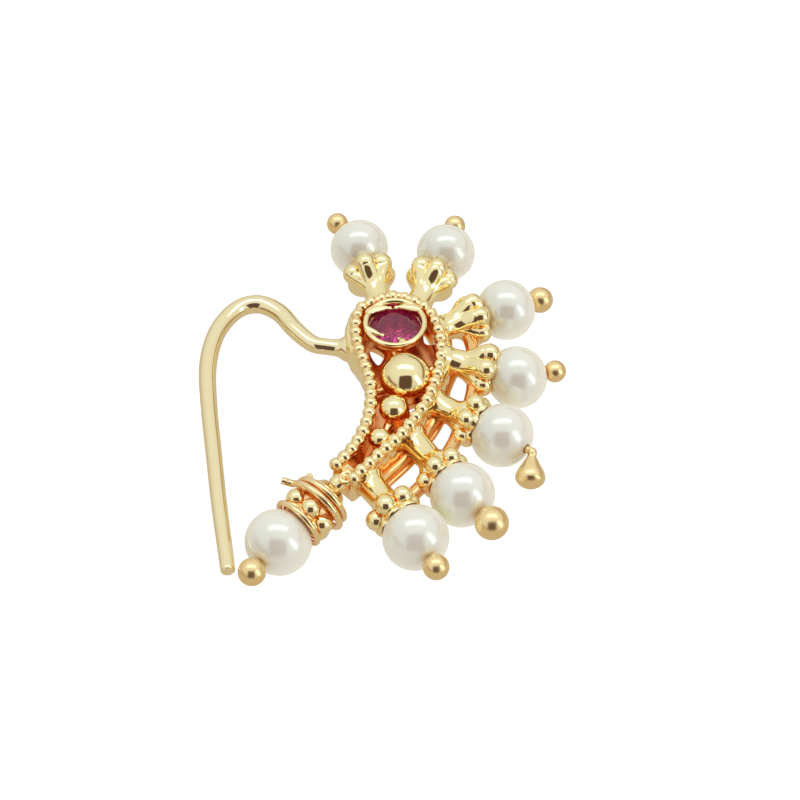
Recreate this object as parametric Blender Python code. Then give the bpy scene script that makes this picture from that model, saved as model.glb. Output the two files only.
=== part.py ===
"""Nose ring in the nath style: a curved openwork gold body with a ruby, three domes, a hook wire and eight pearls.

It is modelled lying face up. Lengths are in metres, +Z is towards the face, +Y towards the ruby's end, and
the hook is on the -X side. Everything is laid out about the ruby's centre in the plane through the pearls'
centres, and is moved at the end so that the middle of the box's floor is the origin.
"""

import math

import bmesh
import bpy
from mathutils import Matrix, Vector

MM = 0.001

# Pearls, drilled through, and the headed pins that hold them
PEARL_DIAMETER = 3.5 * MM
PEARL_LENGTH = 3.36 * MM
HOLE_DIAMETER = 0.56 * MM
PIN_DIAMETER = 0.40 * MM
HEAD_DIAMETER = 1.36 * MM
DROP_HEAD_LENGTH = 2.30 * MM
SEAT_GAP = 0.05 * MM
SOCKET_DEPTH = 0.42 * MM

# Cups: a stem that flares into a corolla of lobes, with a round seat for the pearl
CUP_REACH = 4.5 * MM
CUP_SETBACK = 0.60 * MM
STEM_DIAMETER = 1.36 * MM
COROLLA_DIAMETER = 3.25 * MM
COROLLA_DEPTH = 1.30 * MM
LOBES = 6
WEB_DIAMETER = 0.66 * MM
WEB_DROP = 0.30 * MM

# Body: a wall along a leaf outline, a pierced back and a beaded rope along the wall's front edge
FRAME_LENGTH = 13.4 * MM
FRAME_WIDTH = 4.85 * MM
FRAME_TOP = 2.3 * MM
WALL_ABOVE_AXIS = 1.05 * MM
WALL_BELOW_AXIS = 0.85 * MM
WALL_INSIDE = 0.20 * MM
WALL_LIP = 0.35 * MM
TAIL_ROUNDING = 0.035
BACK_THICKNESS = 0.40 * MM
ROPE_DIAMETER = 0.62 * MM
ROPE_PITCH = 0.67 * MM
ROPE_RISE = 0.05 * MM
GALLERY_DIAMETER = 0.30 * MM
GALLERY_OFFSET = 0.85 * MM

# Ruby in its bezel, and the domes below it
BEZEL_DIAMETER = 3.60 * MM
BEZEL_RIM = 0.27 * MM
BEZEL_ABOVE_FACE = 0.45 * MM
BEZEL_POST_DIAMETER = 1.50 * MM
STONE_DIAMETER = 2.86 * MM
STONE_DEPTH = 1.35 * MM
STONE_DROP = 0.20 * MM
CLAW_THICKNESS = 0.16 * MM
DOME_DIAMETER = 2.85 * MM
DOME_DROP = 0.30 * MM

# Hook wire, and the wire wound behind the tail's pearl
HOOK_WIDTH = 8.36 * MM
HOOK_LENGTH = 19.1 * MM
HOOK_DIAMETER = 1.00 * MM
HOOK_TIP_GAP = 0.15 * MM
COIL_DIAMETER = 3.60 * MM
COIL_TAPER = 0.50 * MM
COIL_WIRE = 0.36 * MM
COIL_PITCH = 0.45 * MM
COIL_TURNS = 2
COIL_SETBACK = 2.75 * MM
COIL_TAIL = 0.70 * MM
COIL_START = -55.0
COLLAR_CLEARANCE = 0.10 * MM
SEAT_RING_DIAMETER = 2.95 * MM
SEAT_RING_WIRE = 0.32 * MM
TAIL_ROOT = 0.60 * MM

# How finely round shapes are cut
PEARL_SIDES = 14
PEARL_BANDS = 8
PIN_SIDES = 10
STEM_SIDES = 12
CUP_SIDES = 24
ROPE_SIDES = 8
WIRE_SIDES = 8
FINE_WIRE_SIDES = 6
BEZEL_SIDES = 24
SPLINE_STEPS = 6

# Sections down the body: down is a share of FRAME_LENGTH, left and right are shares of FRAME_WIDTH, and the
# lips, by which the wall stands proud of the rope, are shares of WALL_LIP.
#   down, left, right, left_lip, right_lip
SECTIONS = (
    (0.058, -0.369, 0.336, 0.6, 0.3),
    (0.157, -0.456, 0.480, 1.0, 0.7),
    (0.269, -0.435, 0.536, 0.95, 0.9),
    (0.370, -0.357, 0.522, 0.2, 0.9),
    (0.468, -0.289, 0.462, 0.0, 0.6),
    (0.575, -0.268, 0.369, 0.0, 0.4),
    (0.675, -0.299, 0.223, 0.0, 0.2),
    (0.772, -0.381, 0.043, 0.0, 0.1),
    (0.860, -0.518, -0.169, 0.0, 0.05),
    (0.929, -0.680, -0.334, 0.0, 0.0),
)
# The right side runs on to the tip of the tail, as shares of the same two sizes
TAIL_TIP = (1.0, -0.480)
TOP_LIP = 0.4

# One row for each pearl. Station is the share of the rope's length at which the cup stands, reach a share of
# CUP_REACH, heading the cup's direction and bore the pin's, in degrees from +X, lift and rise their slopes
# upwards, turn the angle of the first lobe, head a share of HEAD_DIAMETER, and back the share of CUP_SETBACK
# by which the cup's rim stays behind the pearl. The last cup is the tail's.
#   station, reach, heading, lift, bore, rise, turn, head, back
CUPS = (
    (0.450, 1.20, 106.5, 0.0, 126.0, 7.0, 13.0, 0.96, 1.0),
    (0.508, 1.20, 68.5, 0.0, 75.0, 3.0, -17.0, 0.94, 1.0),
    (0.576, 1.017, 25.0, -4.0, 29.0, -9.0, -38.0, 1.12, 0.65),
    (0.654, 0.96, -12.0, -7.0, 15.0, -4.0, -39.0, 0.92, 0.15),
    (0.747, 0.99, -31.0, 0.0, -41.0, 7.0, -36.0, 1.18, 0.20),
    (0.836, 1.059, -54.5, 0.0, -55.0, 8.0, -27.0, 1.32, 0.0),
    (0.957, 1.022, -55.0, 0.0, -64.0, 9.0, -27.0, 1.00, 0.0),
    (1.000, 1.050, -132.3, -6.0, -121.0, 7.0, 21.0, 1.06, 0.65),
)
# Neighbouring cups whose flares are joined by a web, as pairs of rows, and the share of COROLLA_DEPTH behind
# their rims at which it runs
WEBS = ((2, 3), (3, 4), (4, 5), (5, 6))
WEB_BACK = 0.78
DROP_CUP = 4
TAIL_CUP = 7
# The fifth pin ends in a drop that hangs aside: its direction from +X and its slope, in degrees
DROP_HEADING = -86.0
DROP_SLOPE = -25.0

# Holes through the back: across is a share of FRAME_WIDTH, down of FRAME_LENGTH, radius of FRAME_WIDTH
BACK_HOLES = (
    (-0.265, 0.215, 0.120),
    (0.365, 0.125, 0.095),
    (0.180, 0.505, 0.062),
    (0.020, 0.098, 0.085),
)

# Domes: across is a share of FRAME_WIDTH, down of FRAME_LENGTH, size of DOME_DIAMETER
DOMES = (
    (0.121, 0.444, 1.0),
    (-0.010, 0.606, 0.46),
    (-0.164, 0.767, 0.35),
)

# Claws cut from the bezel's rim and bent over the stone: root_from and root_to are angles on the rim from +X,
# tip its angle and tip_reach its distance from the centre as a share of the bezel's radius.
#   root_from, root_to, tip, tip_reach
CLAWS = (
    (138.0, 116.0, 109.0, 0.61),
    (40.0, 66.0, 90.0, 0.59),
    (202.0, 228.0, 237.0, 0.70),
    (276.0, 290.0, 281.0, 0.70),
)

# The hook wire from its root on the wall: out is a share of HOOK_WIDTH, up of HOOK_LENGTH, thick of HOOK_DIAMETER
#   out, up, thick
HOOK_STATION = 0.329
HOOK_ARCH = (
    (0.000, 0.000, 1.70),
    (0.070, 0.001, 1.55),
    (0.125, 0.003, 1.05),
    (0.200, 0.008, 0.95),
    (0.300, 0.020, 0.98),
    (0.425, 0.076, 1.05),
    (0.547, 0.148, 1.08),
    (0.697, 0.182, 1.08),
    (0.843, 0.156, 1.05),
    (0.960, 0.066, 1.02),
    (1.000, -0.063, 1.00),
)
# Its leg runs on down to the tip, which lies beside the head of the tail's pin: lean is the share of the way
# across from the arch's widest place to the tip
#   lean, up, thick
HOOK_LEG = (
    (0.131, -0.217, 0.93),
    (0.387, -0.400, 0.88),
    (0.637, -0.574, 0.84),
    (0.885, -0.725, 0.79),
    (1.000, -0.795, 0.75),
)

# Sections of a cup, from its mouth backwards: back is a share of COROLLA_DEPTH behind the seat's rim, peak and
# valley are shares of the corolla's radius at a lobe and between two lobes.
#   back, peak, valley
LOBE_SECTIONS = (
    (0.26, 1.000, 0.730),
    (0.56, 1.000, 0.720),
    (0.82, 0.800, 0.610),
)
MOUTH_PEAK = 0.80
MOUTH_VALLEY = 0.64
# Rings of the seat inside the mouth, as shares of the corolla's radius
SEAT_RINGS = (0.50, 0.18)


def clear_scene():
    for old in list(bpy.data.objects):
        bpy.data.objects.remove(old, do_unlink=True)


def make_material(name, colour, roughness, metallic):
    material = bpy.data.materials.new(name)
    material.use_nodes = True
    shader = material.node_tree.nodes["Principled BSDF"]
    shader.inputs["Base Color"].default_value = (*colour, 1.0)
    shader.inputs["Roughness"].default_value = roughness
    shader.inputs["Metallic"].default_value = metallic
    material.diffuse_color = (*colour, 1.0)
    return material


def make_object(name, bm, material):
    """A scene object of the finished bmesh, with its faces pointing out."""
    bmesh.ops.recalc_face_normals(bm, faces=bm.faces)
    mesh = bpy.data.meshes.new(name)
    bm.to_mesh(mesh)
    bm.free()
    mesh.shade_smooth()
    mesh.set_sharp_from_angle(angle=math.radians(40))
    mesh.materials.append(material)
    made = bpy.data.objects.new(name, mesh)
    bpy.context.scene.collection.objects.link(made)
    return made


def as_helper(made):
    made.hide_render = True
    made.display_type = "WIRE"
    return made


def loft(rings, closed=False):
    """A bmesh through rings of points. Two neighbours have as many points, or one has twice the other's."""
    bm = bmesh.new()
    made = [[bm.verts.new(point) for point in ring] for ring in rings]
    pairs = list(zip(made, made[1:]))
    if closed:
        pairs.append((made[-1], made[0]))
    else:
        bm.faces.new(made[0])
        bm.faces.new(made[-1])
    for one, two in pairs:
        if len(one) > len(two):
            one, two = two, one
        count = len(one)
        for i in range(count):
            j = (i + 1) % count
            if len(two) == count:
                bm.faces.new((one[i], one[j], two[j], two[i]))
                continue
            middle = two[2 * i + 1]
            bm.faces.new((one[i], middle, two[2 * i]))
            bm.faces.new((one[i], one[j], middle))
            bm.faces.new((one[j], two[2 * j], middle))
    return bm


def turned_ring(along, radius, sides, turn=0.0):
    """Points round local X, counted from local Z."""
    steps = [turn + math.tau * i / sides for i in range(sides)]
    return [Vector((along, radius * math.sin(a), radius * math.cos(a))) for a in steps]


def turned(profile, sides, place, closed=False, turn=0.0):
    """A shape turned about local X through (along, radius) pairs, set down by the matrix place."""
    bm = loft([turned_ring(along, radius, sides, turn) for along, radius in profile], closed)
    bm.transform(place)
    return bm


def pointing(at, heading, rise=0.0):
    """Local X looks along heading and rise, in degrees, and local Z stays upright."""
    turn = Matrix.Rotation(math.radians(heading), 4, "Z") @ Matrix.Rotation(-math.radians(rise), 4, "Y")
    return Matrix.Translation(at) @ turn


def standing(at):
    """Local X looks up."""
    return pointing(at, 0.0, 90.0)


def spline(points, steps):
    """Points along a Catmull-Rom curve through the given ones, which may carry further values."""
    points = [Vector(point) for point in points]
    padded = [2 * points[0] - points[1], *points, 2 * points[-1] - points[-2]]
    found = []
    for before, start, end, after in zip(padded, padded[1:], padded[2:], padded[3:]):
        for k in range(steps):
            t = k / steps
            found.append(
                0.5 * (2 * start + (end - before) * t)
                + 0.5 * (2 * before - 5 * start + 4 * end - after) * t**2
                + 0.5 * (3 * start - before - 3 * end + after) * t**3
            )
    found.append(points[-1])
    return found


class Rail:
    """The rope's path: up the left side from the tail, round the top and down the right side."""

    def __init__(self):
        left = [(l * FRAME_WIDTH, self.level(d), ll * WALL_LIP, 0.0) for d, l, r, ll, rl in SECTIONS]
        right = [(r * FRAME_WIDTH, self.level(d), rl * WALL_LIP, 0.0) for d, l, r, ll, rl in SECTIONS]
        top = (0.0, FRAME_TOP, TOP_LIP * WALL_LIP, 0.0)
        tip = (TAIL_TIP[1] * FRAME_WIDTH, self.level(TAIL_TIP[0]), 0.0, 0.0)
        self.points = spline([*reversed(left), top, *right, tip], SPLINE_STEPS)
        self.lengths = [0.0]
        for one, two in zip(self.points, self.points[1:]):
            self.lengths.append(self.lengths[-1] + (two.xy - one.xy).length)

    @staticmethod
    def level(down):
        return FRAME_TOP - down * FRAME_LENGTH

    @property
    def length(self):
        return self.lengths[-1]

    def at(self, share):
        """The place, the direction out of the body and the wall's lip at a share of the length."""
        wanted = min(max(share, 0.0), 1.0) * self.length
        i = max(k for k in range(len(self.points) - 1) if self.lengths[k] <= wanted or k == 0)
        one, two = self.points[i], self.points[i + 1]
        part = (wanted - self.lengths[i]) / (self.lengths[i + 1] - self.lengths[i])
        here = one.lerp(two, part)
        along = (two.xy - one.xy).normalized()
        return Vector((here.x, here.y, 0.0)), Vector((-along.y, along.x, 0.0)), here.z

    def offset(self, share, out, height=0.0):
        place, outward, _ = self.at(share)
        return place + outward * out + Vector((0.0, 0.0, height))


def tube(points, radii, sides):
    """A bmesh swept through points, with rings square to the path that don't twist."""
    rings = []
    side = None
    for i, point in enumerate(points):
        along = (points[min(i + 1, len(points) - 1)] - points[max(i - 1, 0)]).normalized()
        if side is None:
            side = along.orthogonal().normalized() if abs(along.z) > 0.9 else Vector((0, 0, 1)).cross(along)
        side = (side - along * side.dot(along)).normalized()
        other = along.cross(side)
        steps = [math.tau * k / sides for k in range(sides)]
        rings.append([point + (side * math.sin(a) + other * math.cos(a)) * radii[i] for a in steps])
    return loft(rings)


def prism(outline, low, high):
    """An upright prism between two heights over a list of points."""
    return loft([[Vector((p.x, p.y, z)) for p in outline] for z in (low, high)])


def combine(name, operation, target, helpers):
    """A live Boolean of the target with every helper."""
    group = bpy.data.collections.new(name)
    for helper in helpers:
        group.objects.link(as_helper(helper))
    modifier = target.modifiers.new(name, "BOOLEAN")
    modifier.operation = operation
    modifier.operand_type = "COLLECTION"
    modifier.collection = group
    modifier.solver = "EXACT"
    return group


class Cup:
    """Where one cup, its pearl and its pin lie."""

    def __init__(self, rail, index):
        station, reach, self.heading, self.lift, self.bore, self.rise, self.turn, self.head, back = CUPS[index]
        self.index = index
        self.is_tail = index == TAIL_CUP
        if self.is_tail:
            self.root = (rail.offset(0.0, 0.0) + rail.offset(1.0, 0.0)) / 2
        else:
            self.root = rail.offset(station, 0.0)
        self.reach = reach * CUP_REACH
        self.setback = back * CUP_SETBACK
        angle = math.radians(self.heading)
        self.pearl = self.root + Vector((math.cos(angle), math.sin(angle), 0.0)) * self.reach
        self.head_radius = self.head * HEAD_DIAMETER / 2

    @property
    def cup_place(self):
        return pointing(self.pearl, self.heading, self.lift)

    @property
    def bore_place(self):
        return pointing(self.pearl, self.bore, self.rise)

    @property
    def ball_along(self):
        """How far along the bore the pin's ball has its centre, where it rests on the hole's edge."""
        return pearl_end() + SEAT_GAP + math.sqrt(max(self.head_radius**2 - (HOLE_DIAMETER / 2) ** 2, 0.0))

    @property
    def web_end(self):
        """The point inside the flare to which a web runs."""
        rim = seat_depth(COROLLA_DIAMETER / 2 * MOUTH_PEAK) + self.setback
        flare = Vector((-rim - WEB_BACK * COROLLA_DEPTH, 0.0, 0.0))
        return self.cup_place @ flare - Vector((0.0, 0.0, WEB_DROP))


def seat_depth(radius):
    """How far behind the pearl's centre its seat lies at this distance from the cup's axis."""
    seat = PEARL_DIAMETER / 2 + SEAT_GAP
    return math.sqrt(max(seat**2 - radius**2, 0.0))


def cup_mesh(cup):
    """The stem, the flare, the ring of lobes and the pearl's seat, as one closed shape along local X."""
    radius = COROLLA_DIAMETER / 2
    turn = math.radians(cup.turn)
    angles = [turn + math.tau * i / CUP_SIDES for i in range(CUP_SIDES)]
    waves = [abs(math.cos(LOBES * i * math.pi / CUP_SIDES)) for i in range(CUP_SIDES)]

    def lobed(back, peak, valley, on_seat=False):
        points = []
        for angle, wave in zip(angles, waves):
            r = radius * (valley + (peak - valley) * wave)
            along = -seat_depth(r) - cup.setback if on_seat else -front - back * COROLLA_DEPTH
            points.append(Vector((along, r * math.sin(angle), r * math.cos(angle))))
        return points

    front = seat_depth(radius * MOUTH_PEAK) + cup.setback
    flare = -front - COROLLA_DEPTH
    stem = STEM_DIAMETER / 2
    root = -cup.reach - (TAIL_ROOT if cup.is_tail else 0.0)
    rings = [
        turned_ring(root, stem, STEM_SIDES, turn),
        turned_ring((root + flare) / 2, stem * 0.97, STEM_SIDES, turn),
        turned_ring(flare, stem * 1.08, STEM_SIDES, turn),
    ]
    rings += [lobed(*section) for section in reversed(LOBE_SECTIONS)]
    rings.append(lobed(0.0, MOUTH_PEAK, MOUTH_VALLEY, on_seat=True))
    for share in SEAT_RINGS:
        rings.append(turned_ring(-seat_depth(radius * share), radius * share, STEM_SIDES, turn))
    bm = loft(rings)
    bm.transform(cup.cup_place)
    return bm


def pearl_mesh(cup):
    """A bead, slightly flattened at the two ends of its hole."""
    hole = HOLE_DIAMETER / 2
    edge = math.acos(HOLE_DIAMETER / PEARL_DIAMETER)
    steps = [edge * (2 * i / PEARL_BANDS - 1) for i in range(PEARL_BANDS + 1)]
    profile = [(PEARL_LENGTH / 2 * math.sin(a), PEARL_DIAMETER / 2 * math.cos(a)) for a in steps]
    profile[0] = (profile[0][0], hole)
    profile[-1] = (profile[-1][0], hole)
    return turned(profile, PEARL_SIDES, cup.bore_place, closed=True)


def pearl_end():
    """Half the bead's length at the hole's edge."""
    return PEARL_LENGTH / 2 * math.sin(math.acos(HOLE_DIAMETER / PEARL_DIAMETER))


def pin_end():
    return PEARL_DIAMETER / 2 + SEAT_GAP + SOCKET_DEPTH


def pin_mesh(cup):
    """A straight shank through the pearl into the cup, with a ball outside."""
    shank = PIN_DIAMETER / 2
    ball = cup.head_radius
    centre = cup.ball_along
    start = math.asin(min(shank / ball, 0.9))
    bands = 6
    profile = [(-pin_end(), shank)]
    for i in range(bands + 1):
        angle = start + (math.pi - 2 * start) * i / bands
        profile.append((centre - ball * math.cos(angle), ball * math.sin(angle)))
    return turned(profile, PIN_SIDES, cup.bore_place)


def drop_pin_mesh(cup):
    """The fifth pin: its shank leaves the pearl and turns down into a long drop."""
    shank = PIN_DIAMETER / 2
    ball = cup.head_radius
    outward = (pointing(Vector(), cup.bore, cup.rise).to_3x3() @ Vector((1, 0, 0))).normalized()
    aside = (pointing(Vector(), DROP_HEADING, DROP_SLOPE).to_3x3() @ Vector((1, 0, 0))).normalized()
    bend = cup.pearl + outward * (PEARL_DIAMETER / 2 + SEAT_GAP + shank * 1.3)
    points = [cup.pearl - outward * pin_end(), cup.pearl + outward * pearl_end(), bend]
    radii = [shank, shank, shank * 1.2]
    run = DROP_HEAD_LENGTH - shank * 1.3
    # The drop's outline: share of the run and share of the ball's radius
    for share, thick in ((0.18, 0.42), (0.34, 0.66), (0.5, 0.9), (0.66, 1.0), (0.82, 0.86), (0.94, 0.5), (0.98, 0.25)):
        points.append(bend + aside * run * share)
        radii.append(ball * thick)
    return tube(points, radii, PIN_SIDES)


def wall_outline(rail, count):
    """The wall's outer edge, which draws in to the rope's path at both ends of the tail."""
    points = []
    for i in range(count + 1):
        share = i / count
        ease = min(1.0, share / TAIL_ROUNDING, (1.0 - share) / TAIL_ROUNDING)
        points.append(rail.offset(share, math.sqrt(ease) * (ROPE_DIAMETER / 2 + rail.at(share)[2])))
    return points


def pocket_outline(rail, count):
    return [rail.offset(0.03 + 0.94 * i / count, -WALL_INSIDE) for i in range(count + 1)]


def build_frame_wall(rail, gold):
    """The leaf-shaped wall with its pierced back, cut from a block."""
    face, back = WALL_ABOVE_AXIS, -WALL_BELOW_AXIS
    block = make_object("gold_body", prism(wall_outline(rail, 56), back, face), gold)
    inside = pocket_outline(rail, 44)
    cutters = [make_object("pocket", prism(inside, back + BACK_THICKNESS, face + ROPE_DIAMETER), gold)]
    for i, (across, down, radius) in enumerate(BACK_HOLES):
        middle = Vector((across * FRAME_WIDTH, rail.level(down), back - BACK_THICKNESS))
        size = radius * FRAME_WIDTH
        hole = turned([(0.0, size), (3 * BACK_THICKNESS, size)], 10, standing(middle))
        cutters.append(make_object(f"back_hole_{i + 1}", hole, gold))
    combine("hollow", "DIFFERENCE", block, cutters)
    return block


def rope_mesh(rail):
    """A string of touching beads along the wall's front edge."""
    beads = round(rail.length / ROPE_PITCH)
    height = WALL_ABOVE_AXIS + ROPE_RISE
    belly = ROPE_DIAMETER / 2
    points, radii = [], []
    for i in range(beads):
        for part, thick in ((0.04, 0.66), (0.32, 1.0), (0.68, 1.0), (0.96, 0.66)):
            if part == 0.04 and i > 0:
                continue
            points.append(rail.offset((i + part) / beads, 0.0, height))
            radii.append(belly * thick)
    return tube(points, radii, ROPE_SIDES)


class Stone:
    """The ruby's levels on its axis, which its bezel is shaped round."""

    radius = STONE_DIAMETER / 2
    table = WALL_ABOVE_AXIS + BEZEL_ABOVE_FACE - STONE_DROP
    girdle_top = table - STONE_DEPTH * 0.24
    girdle_low = table - STONE_DEPTH * 0.30
    culet = table - STONE_DEPTH
    culet_radius = radius * 0.06


def bezel_mesh():
    """The stone's cup: a rim, a bed that follows the stone's back, and a tapered underside on a post."""
    radius = BEZEL_DIAMETER / 2
    top = WALL_ABOVE_AXIS + BEZEL_ABOVE_FACE
    depth = Stone.girdle_low - Stone.culet
    post = BEZEL_POST_DIAMETER / 2
    profile = [
        (-WALL_BELOW_AXIS + BACK_THICKNESS / 3, post),
        (Stone.culet + depth * 0.10, post * 1.05),
        (Stone.culet + depth * 0.62, radius * 0.80),
        (Stone.girdle_low - SEAT_GAP, radius),
        (top - BEZEL_RIM * 0.35, radius),
        (top, radius - BEZEL_RIM * 0.35),
        (top, radius - BEZEL_RIM * 0.75),
        (top - BEZEL_RIM * 0.35, radius - BEZEL_RIM),
        (Stone.girdle_low, Stone.radius + SEAT_GAP),
        (Stone.girdle_low - 1.5 * SEAT_GAP, Stone.radius),
        (Stone.culet - 1.8 * SEAT_GAP, Stone.culet_radius),
    ]
    return turned(profile, BEZEL_SIDES, standing(Vector()))


def claw_mesh(claw):
    """A leaf of metal from the rim to a tip over the stone."""
    root_from, root_to, tip, tip_reach = claw
    radius = BEZEL_DIAMETER / 2
    top = WALL_ABOVE_AXIS + BEZEL_ABOVE_FACE - BEZEL_RIM * 0.2

    def on_rim(angle, share, height):
        turn = math.radians(angle)
        return Vector((math.cos(turn) * radius * share, math.sin(turn) * radius * share, height))

    outer = 1 - BEZEL_RIM * 0.55 / radius
    corners = [on_rim(root_from, outer, 0), on_rim((root_from + root_to) / 2, outer, 0), on_rim(root_to, outer, 0)]
    corners.append(on_rim(tip, tip_reach, 0))
    return prism(corners, top - CLAW_THICKNESS, top)


def dome_mesh(rail, dome):
    """A half ball on a short collar and a post down to the back."""
    across, down, size = dome
    radius = size * DOME_DIAMETER / 2
    base = WALL_ABOVE_AXIS - DOME_DROP
    collar = base - radius * 0.12
    foot = -WALL_BELOW_AXIS + BACK_THICKNESS / 2
    profile = [(foot, radius * 0.6), (collar - radius * 0.1, radius * 0.72), (collar, radius * 0.96), (base, radius)]
    bands = 5
    for i in range(1, bands):
        angle = math.pi / 2 * i / bands
        profile.append((base + radius * math.sin(angle), radius * math.cos(angle)))
    sides = 20 if size > 0.5 else 12
    return turned(profile, sides, standing(Vector((across * FRAME_WIDTH, rail.level(down), 0.0))))


def gallery_mesh(rail):
    """A thin wire along the back that ties the stems of the fifth, sixth and seventh cups."""
    first, last = CUPS[DROP_CUP][0], CUPS[DROP_CUP + 2][0]
    height = -WALL_BELOW_AXIS + GALLERY_DIAMETER * 0.8
    steps = 12
    points = [rail.offset(first + (last - first) * i / steps, GALLERY_OFFSET, height) for i in range(steps + 1)]
    return tube(points, [GALLERY_DIAMETER / 2] * len(points), FINE_WIRE_SIDES)


def web_mesh(cup, neighbour):
    """A short bar between the flares of two neighbouring cups."""
    return tube([cup.web_end, neighbour.web_end], [WEB_DIAMETER / 2] * 2, WIRE_SIDES)


def hook_mesh(rail, tail_cup):
    """The plain hook that goes through the nose, soldered to the wall by a cone."""
    root = rail.offset(HOOK_STATION, 0.0)
    rows = [(root.x - out * HOOK_WIDTH, root.y + up * HOOK_LENGTH, thick, 0.0) for out, up, thick in HOOK_ARCH]
    side = rows[-1][0]
    head = tail_cup.bore_place @ Vector((tail_cup.ball_along, 0.0, 0.0))
    tip = head.x - tail_cup.head_radius - HOOK_TIP_GAP - HOOK_LEG[-1][2] * HOOK_DIAMETER / 2
    rows += [(side + lean * (tip - side), root.y + up * HOOK_LENGTH, thick, 0.0) for lean, up, thick in HOOK_LEG]
    path = spline(rows, 4)
    points = [Vector((p.x, p.y, 0.0)) for p in path]
    radii = [p.z * HOOK_DIAMETER / 2 for p in path]
    return tube(points, radii, WIRE_SIDES)


def seat_ring_mesh(cup):
    """A thin ring between the tail's lobes and its pearl."""
    radius = (SEAT_RING_DIAMETER - SEAT_RING_WIRE) / 2
    wire = SEAT_RING_WIRE / 2
    middle = -seat_depth(radius - wire) - wire
    rows = [(middle + wire * math.cos(a), radius + wire * math.sin(a)) for a in (i * math.tau / 6 for i in range(6))]
    return turned(rows, CUP_SIDES, cup.cup_place, closed=True)


def coil_mesh(cup):
    """Wire wound behind the tail's corolla in narrowing turns, with one end standing off."""
    steps = 18
    total = COIL_TURNS * steps
    points = []
    for i in range(total + 1):
        angle = math.radians(COIL_START) + math.tau * i / steps
        radius = (COIL_DIAMETER - COIL_WIRE - COIL_TAPER * i / total) / 2
        along = -COIL_SETBACK - COIL_PITCH * i / steps
        points.append(Vector((along, radius * math.sin(angle), radius * math.cos(angle))))
    away = Vector((0.0, points[0].y, points[0].z)).normalized()
    lead = (points[0] - points[1]).normalized()
    off = away * 0.75 + lead * 0.35 + Vector((0.45, 0.0, 0.0))
    points.insert(0, points[0] + off.normalized() * COIL_TAIL)
    bm = tube(points, [COIL_WIRE / 2] * len(points), FINE_WIRE_SIDES)
    bm.transform(cup.cup_place)
    return bm


def collar_mesh(cup):
    """The thick part of the tail's stem that the wire is wound on."""
    radius = (COIL_DIAMETER - COIL_TAPER) / 2 - COIL_WIRE - COLLAR_CLEARANCE
    far = -COIL_SETBACK - COIL_TURNS * COIL_PITCH
    near = -COIL_SETBACK + COIL_PITCH
    profile = [(far - COIL_PITCH, STEM_DIAMETER / 2), (far, radius), (near, radius)]
    return turned(profile, STEM_SIDES, cup.cup_place)


def ruby_mesh():
    """A round stone with a table, two rows of crown facets, a girdle and a pointed back."""
    rings = [
        turned_ring(Stone.culet, Stone.culet_radius, 8),
        turned_ring(Stone.girdle_low, Stone.radius, 16),
        turned_ring(Stone.girdle_top, Stone.radius, 16),
        turned_ring(Stone.table - STONE_DEPTH * 0.09, Stone.radius * 0.82, 8),
        turned_ring(Stone.table, Stone.radius * 0.58, 8),
    ]
    bm = loft(rings)
    bm.transform(standing(Vector()))
    return bm


def set_on_floor(made):
    """Moves everything so that the middle of the box's floor is the origin."""
    bpy.context.view_layer.update()
    graph = bpy.context.evaluated_depsgraph_get()
    corners = []
    for item in made:
        mesh = item.evaluated_get(graph).to_mesh()
        corners += [item.matrix_world @ vertex.co for vertex in mesh.vertices]
    low = Vector([min(c[i] for c in corners) for i in range(3)])
    high = Vector([max(c[i] for c in corners) for i in range(3)])
    shift = Vector((-(low.x + high.x) / 2, -(low.y + high.y) / 2, -low.z))
    for item in bpy.data.objects:
        item.location += shift


def main():
    clear_scene()
    gold = make_material("gold", (0.90, 0.72, 0.40), 0.14, 1.0)
    pearl = make_material("pearl", (0.88, 0.86, 0.82), 0.22, 0.0)
    red = make_material("ruby", (0.55, 0.04, 0.16), 0.05, 0.0)
    rail = Rail()
    cups = [Cup(rail, index) for index in range(len(CUPS))]

    body = build_frame_wall(rail, gold)
    joined = [
        make_object("rope", rope_mesh(rail), gold),
        make_object("bezel", bezel_mesh(), gold),
        make_object("gallery", gallery_mesh(rail), gold),
        make_object("hook", hook_mesh(rail, cups[TAIL_CUP]), gold),
        make_object("collar", collar_mesh(cups[TAIL_CUP]), gold),
        make_object("seat_ring", seat_ring_mesh(cups[TAIL_CUP]), gold),
    ]
    joined += [make_object(f"claw_{i + 1}", claw_mesh(claw), gold) for i, claw in enumerate(CLAWS)]
    joined += [make_object(f"dome_{i + 1}", dome_mesh(rail, dome), gold) for i, dome in enumerate(DOMES)]
    joined += [make_object(f"cup_{cup.index + 1}", cup_mesh(cup), gold) for cup in cups]
    joined += [make_object(f"web_{i + 1}", web_mesh(cups[i], cups[j]), gold) for i, j in WEBS]
    combine("soldered", "UNION", body, joined)

    socket = PIN_DIAMETER / 2 + SEAT_GAP
    depth = pin_end() + SEAT_GAP
    sockets = [turned([(-depth, socket), (0.0, socket)], PIN_SIDES, cup.bore_place) for cup in cups]
    combine("sockets", "DIFFERENCE", body, [make_object(f"socket_{i + 1}", s, gold) for i, s in enumerate(sockets)])

    nodes = [body, make_object("ruby", ruby_mesh(), red), make_object("tail_coil", coil_mesh(cups[TAIL_CUP]), gold)]
    for cup in cups:
        pin = drop_pin_mesh(cup) if cup.index == DROP_CUP else pin_mesh(cup)
        nodes.append(make_object(f"pearl_{cup.index + 1}", pearl_mesh(cup), pearl))
        nodes.append(make_object(f"pin_{cup.index + 1}", pin, gold))
    set_on_floor(nodes)


main()
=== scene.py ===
"""Looks of a nose ring in the nath style: polished gold, a ruby and eight pearls, lying face up.

Lengths are in metres. Each sub-assembly is worked out about the ruby's centre, in the plane through the
pearls' middles, with +Z out of the decorated face, and Bench then sets it down where the solids are.
"""

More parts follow.
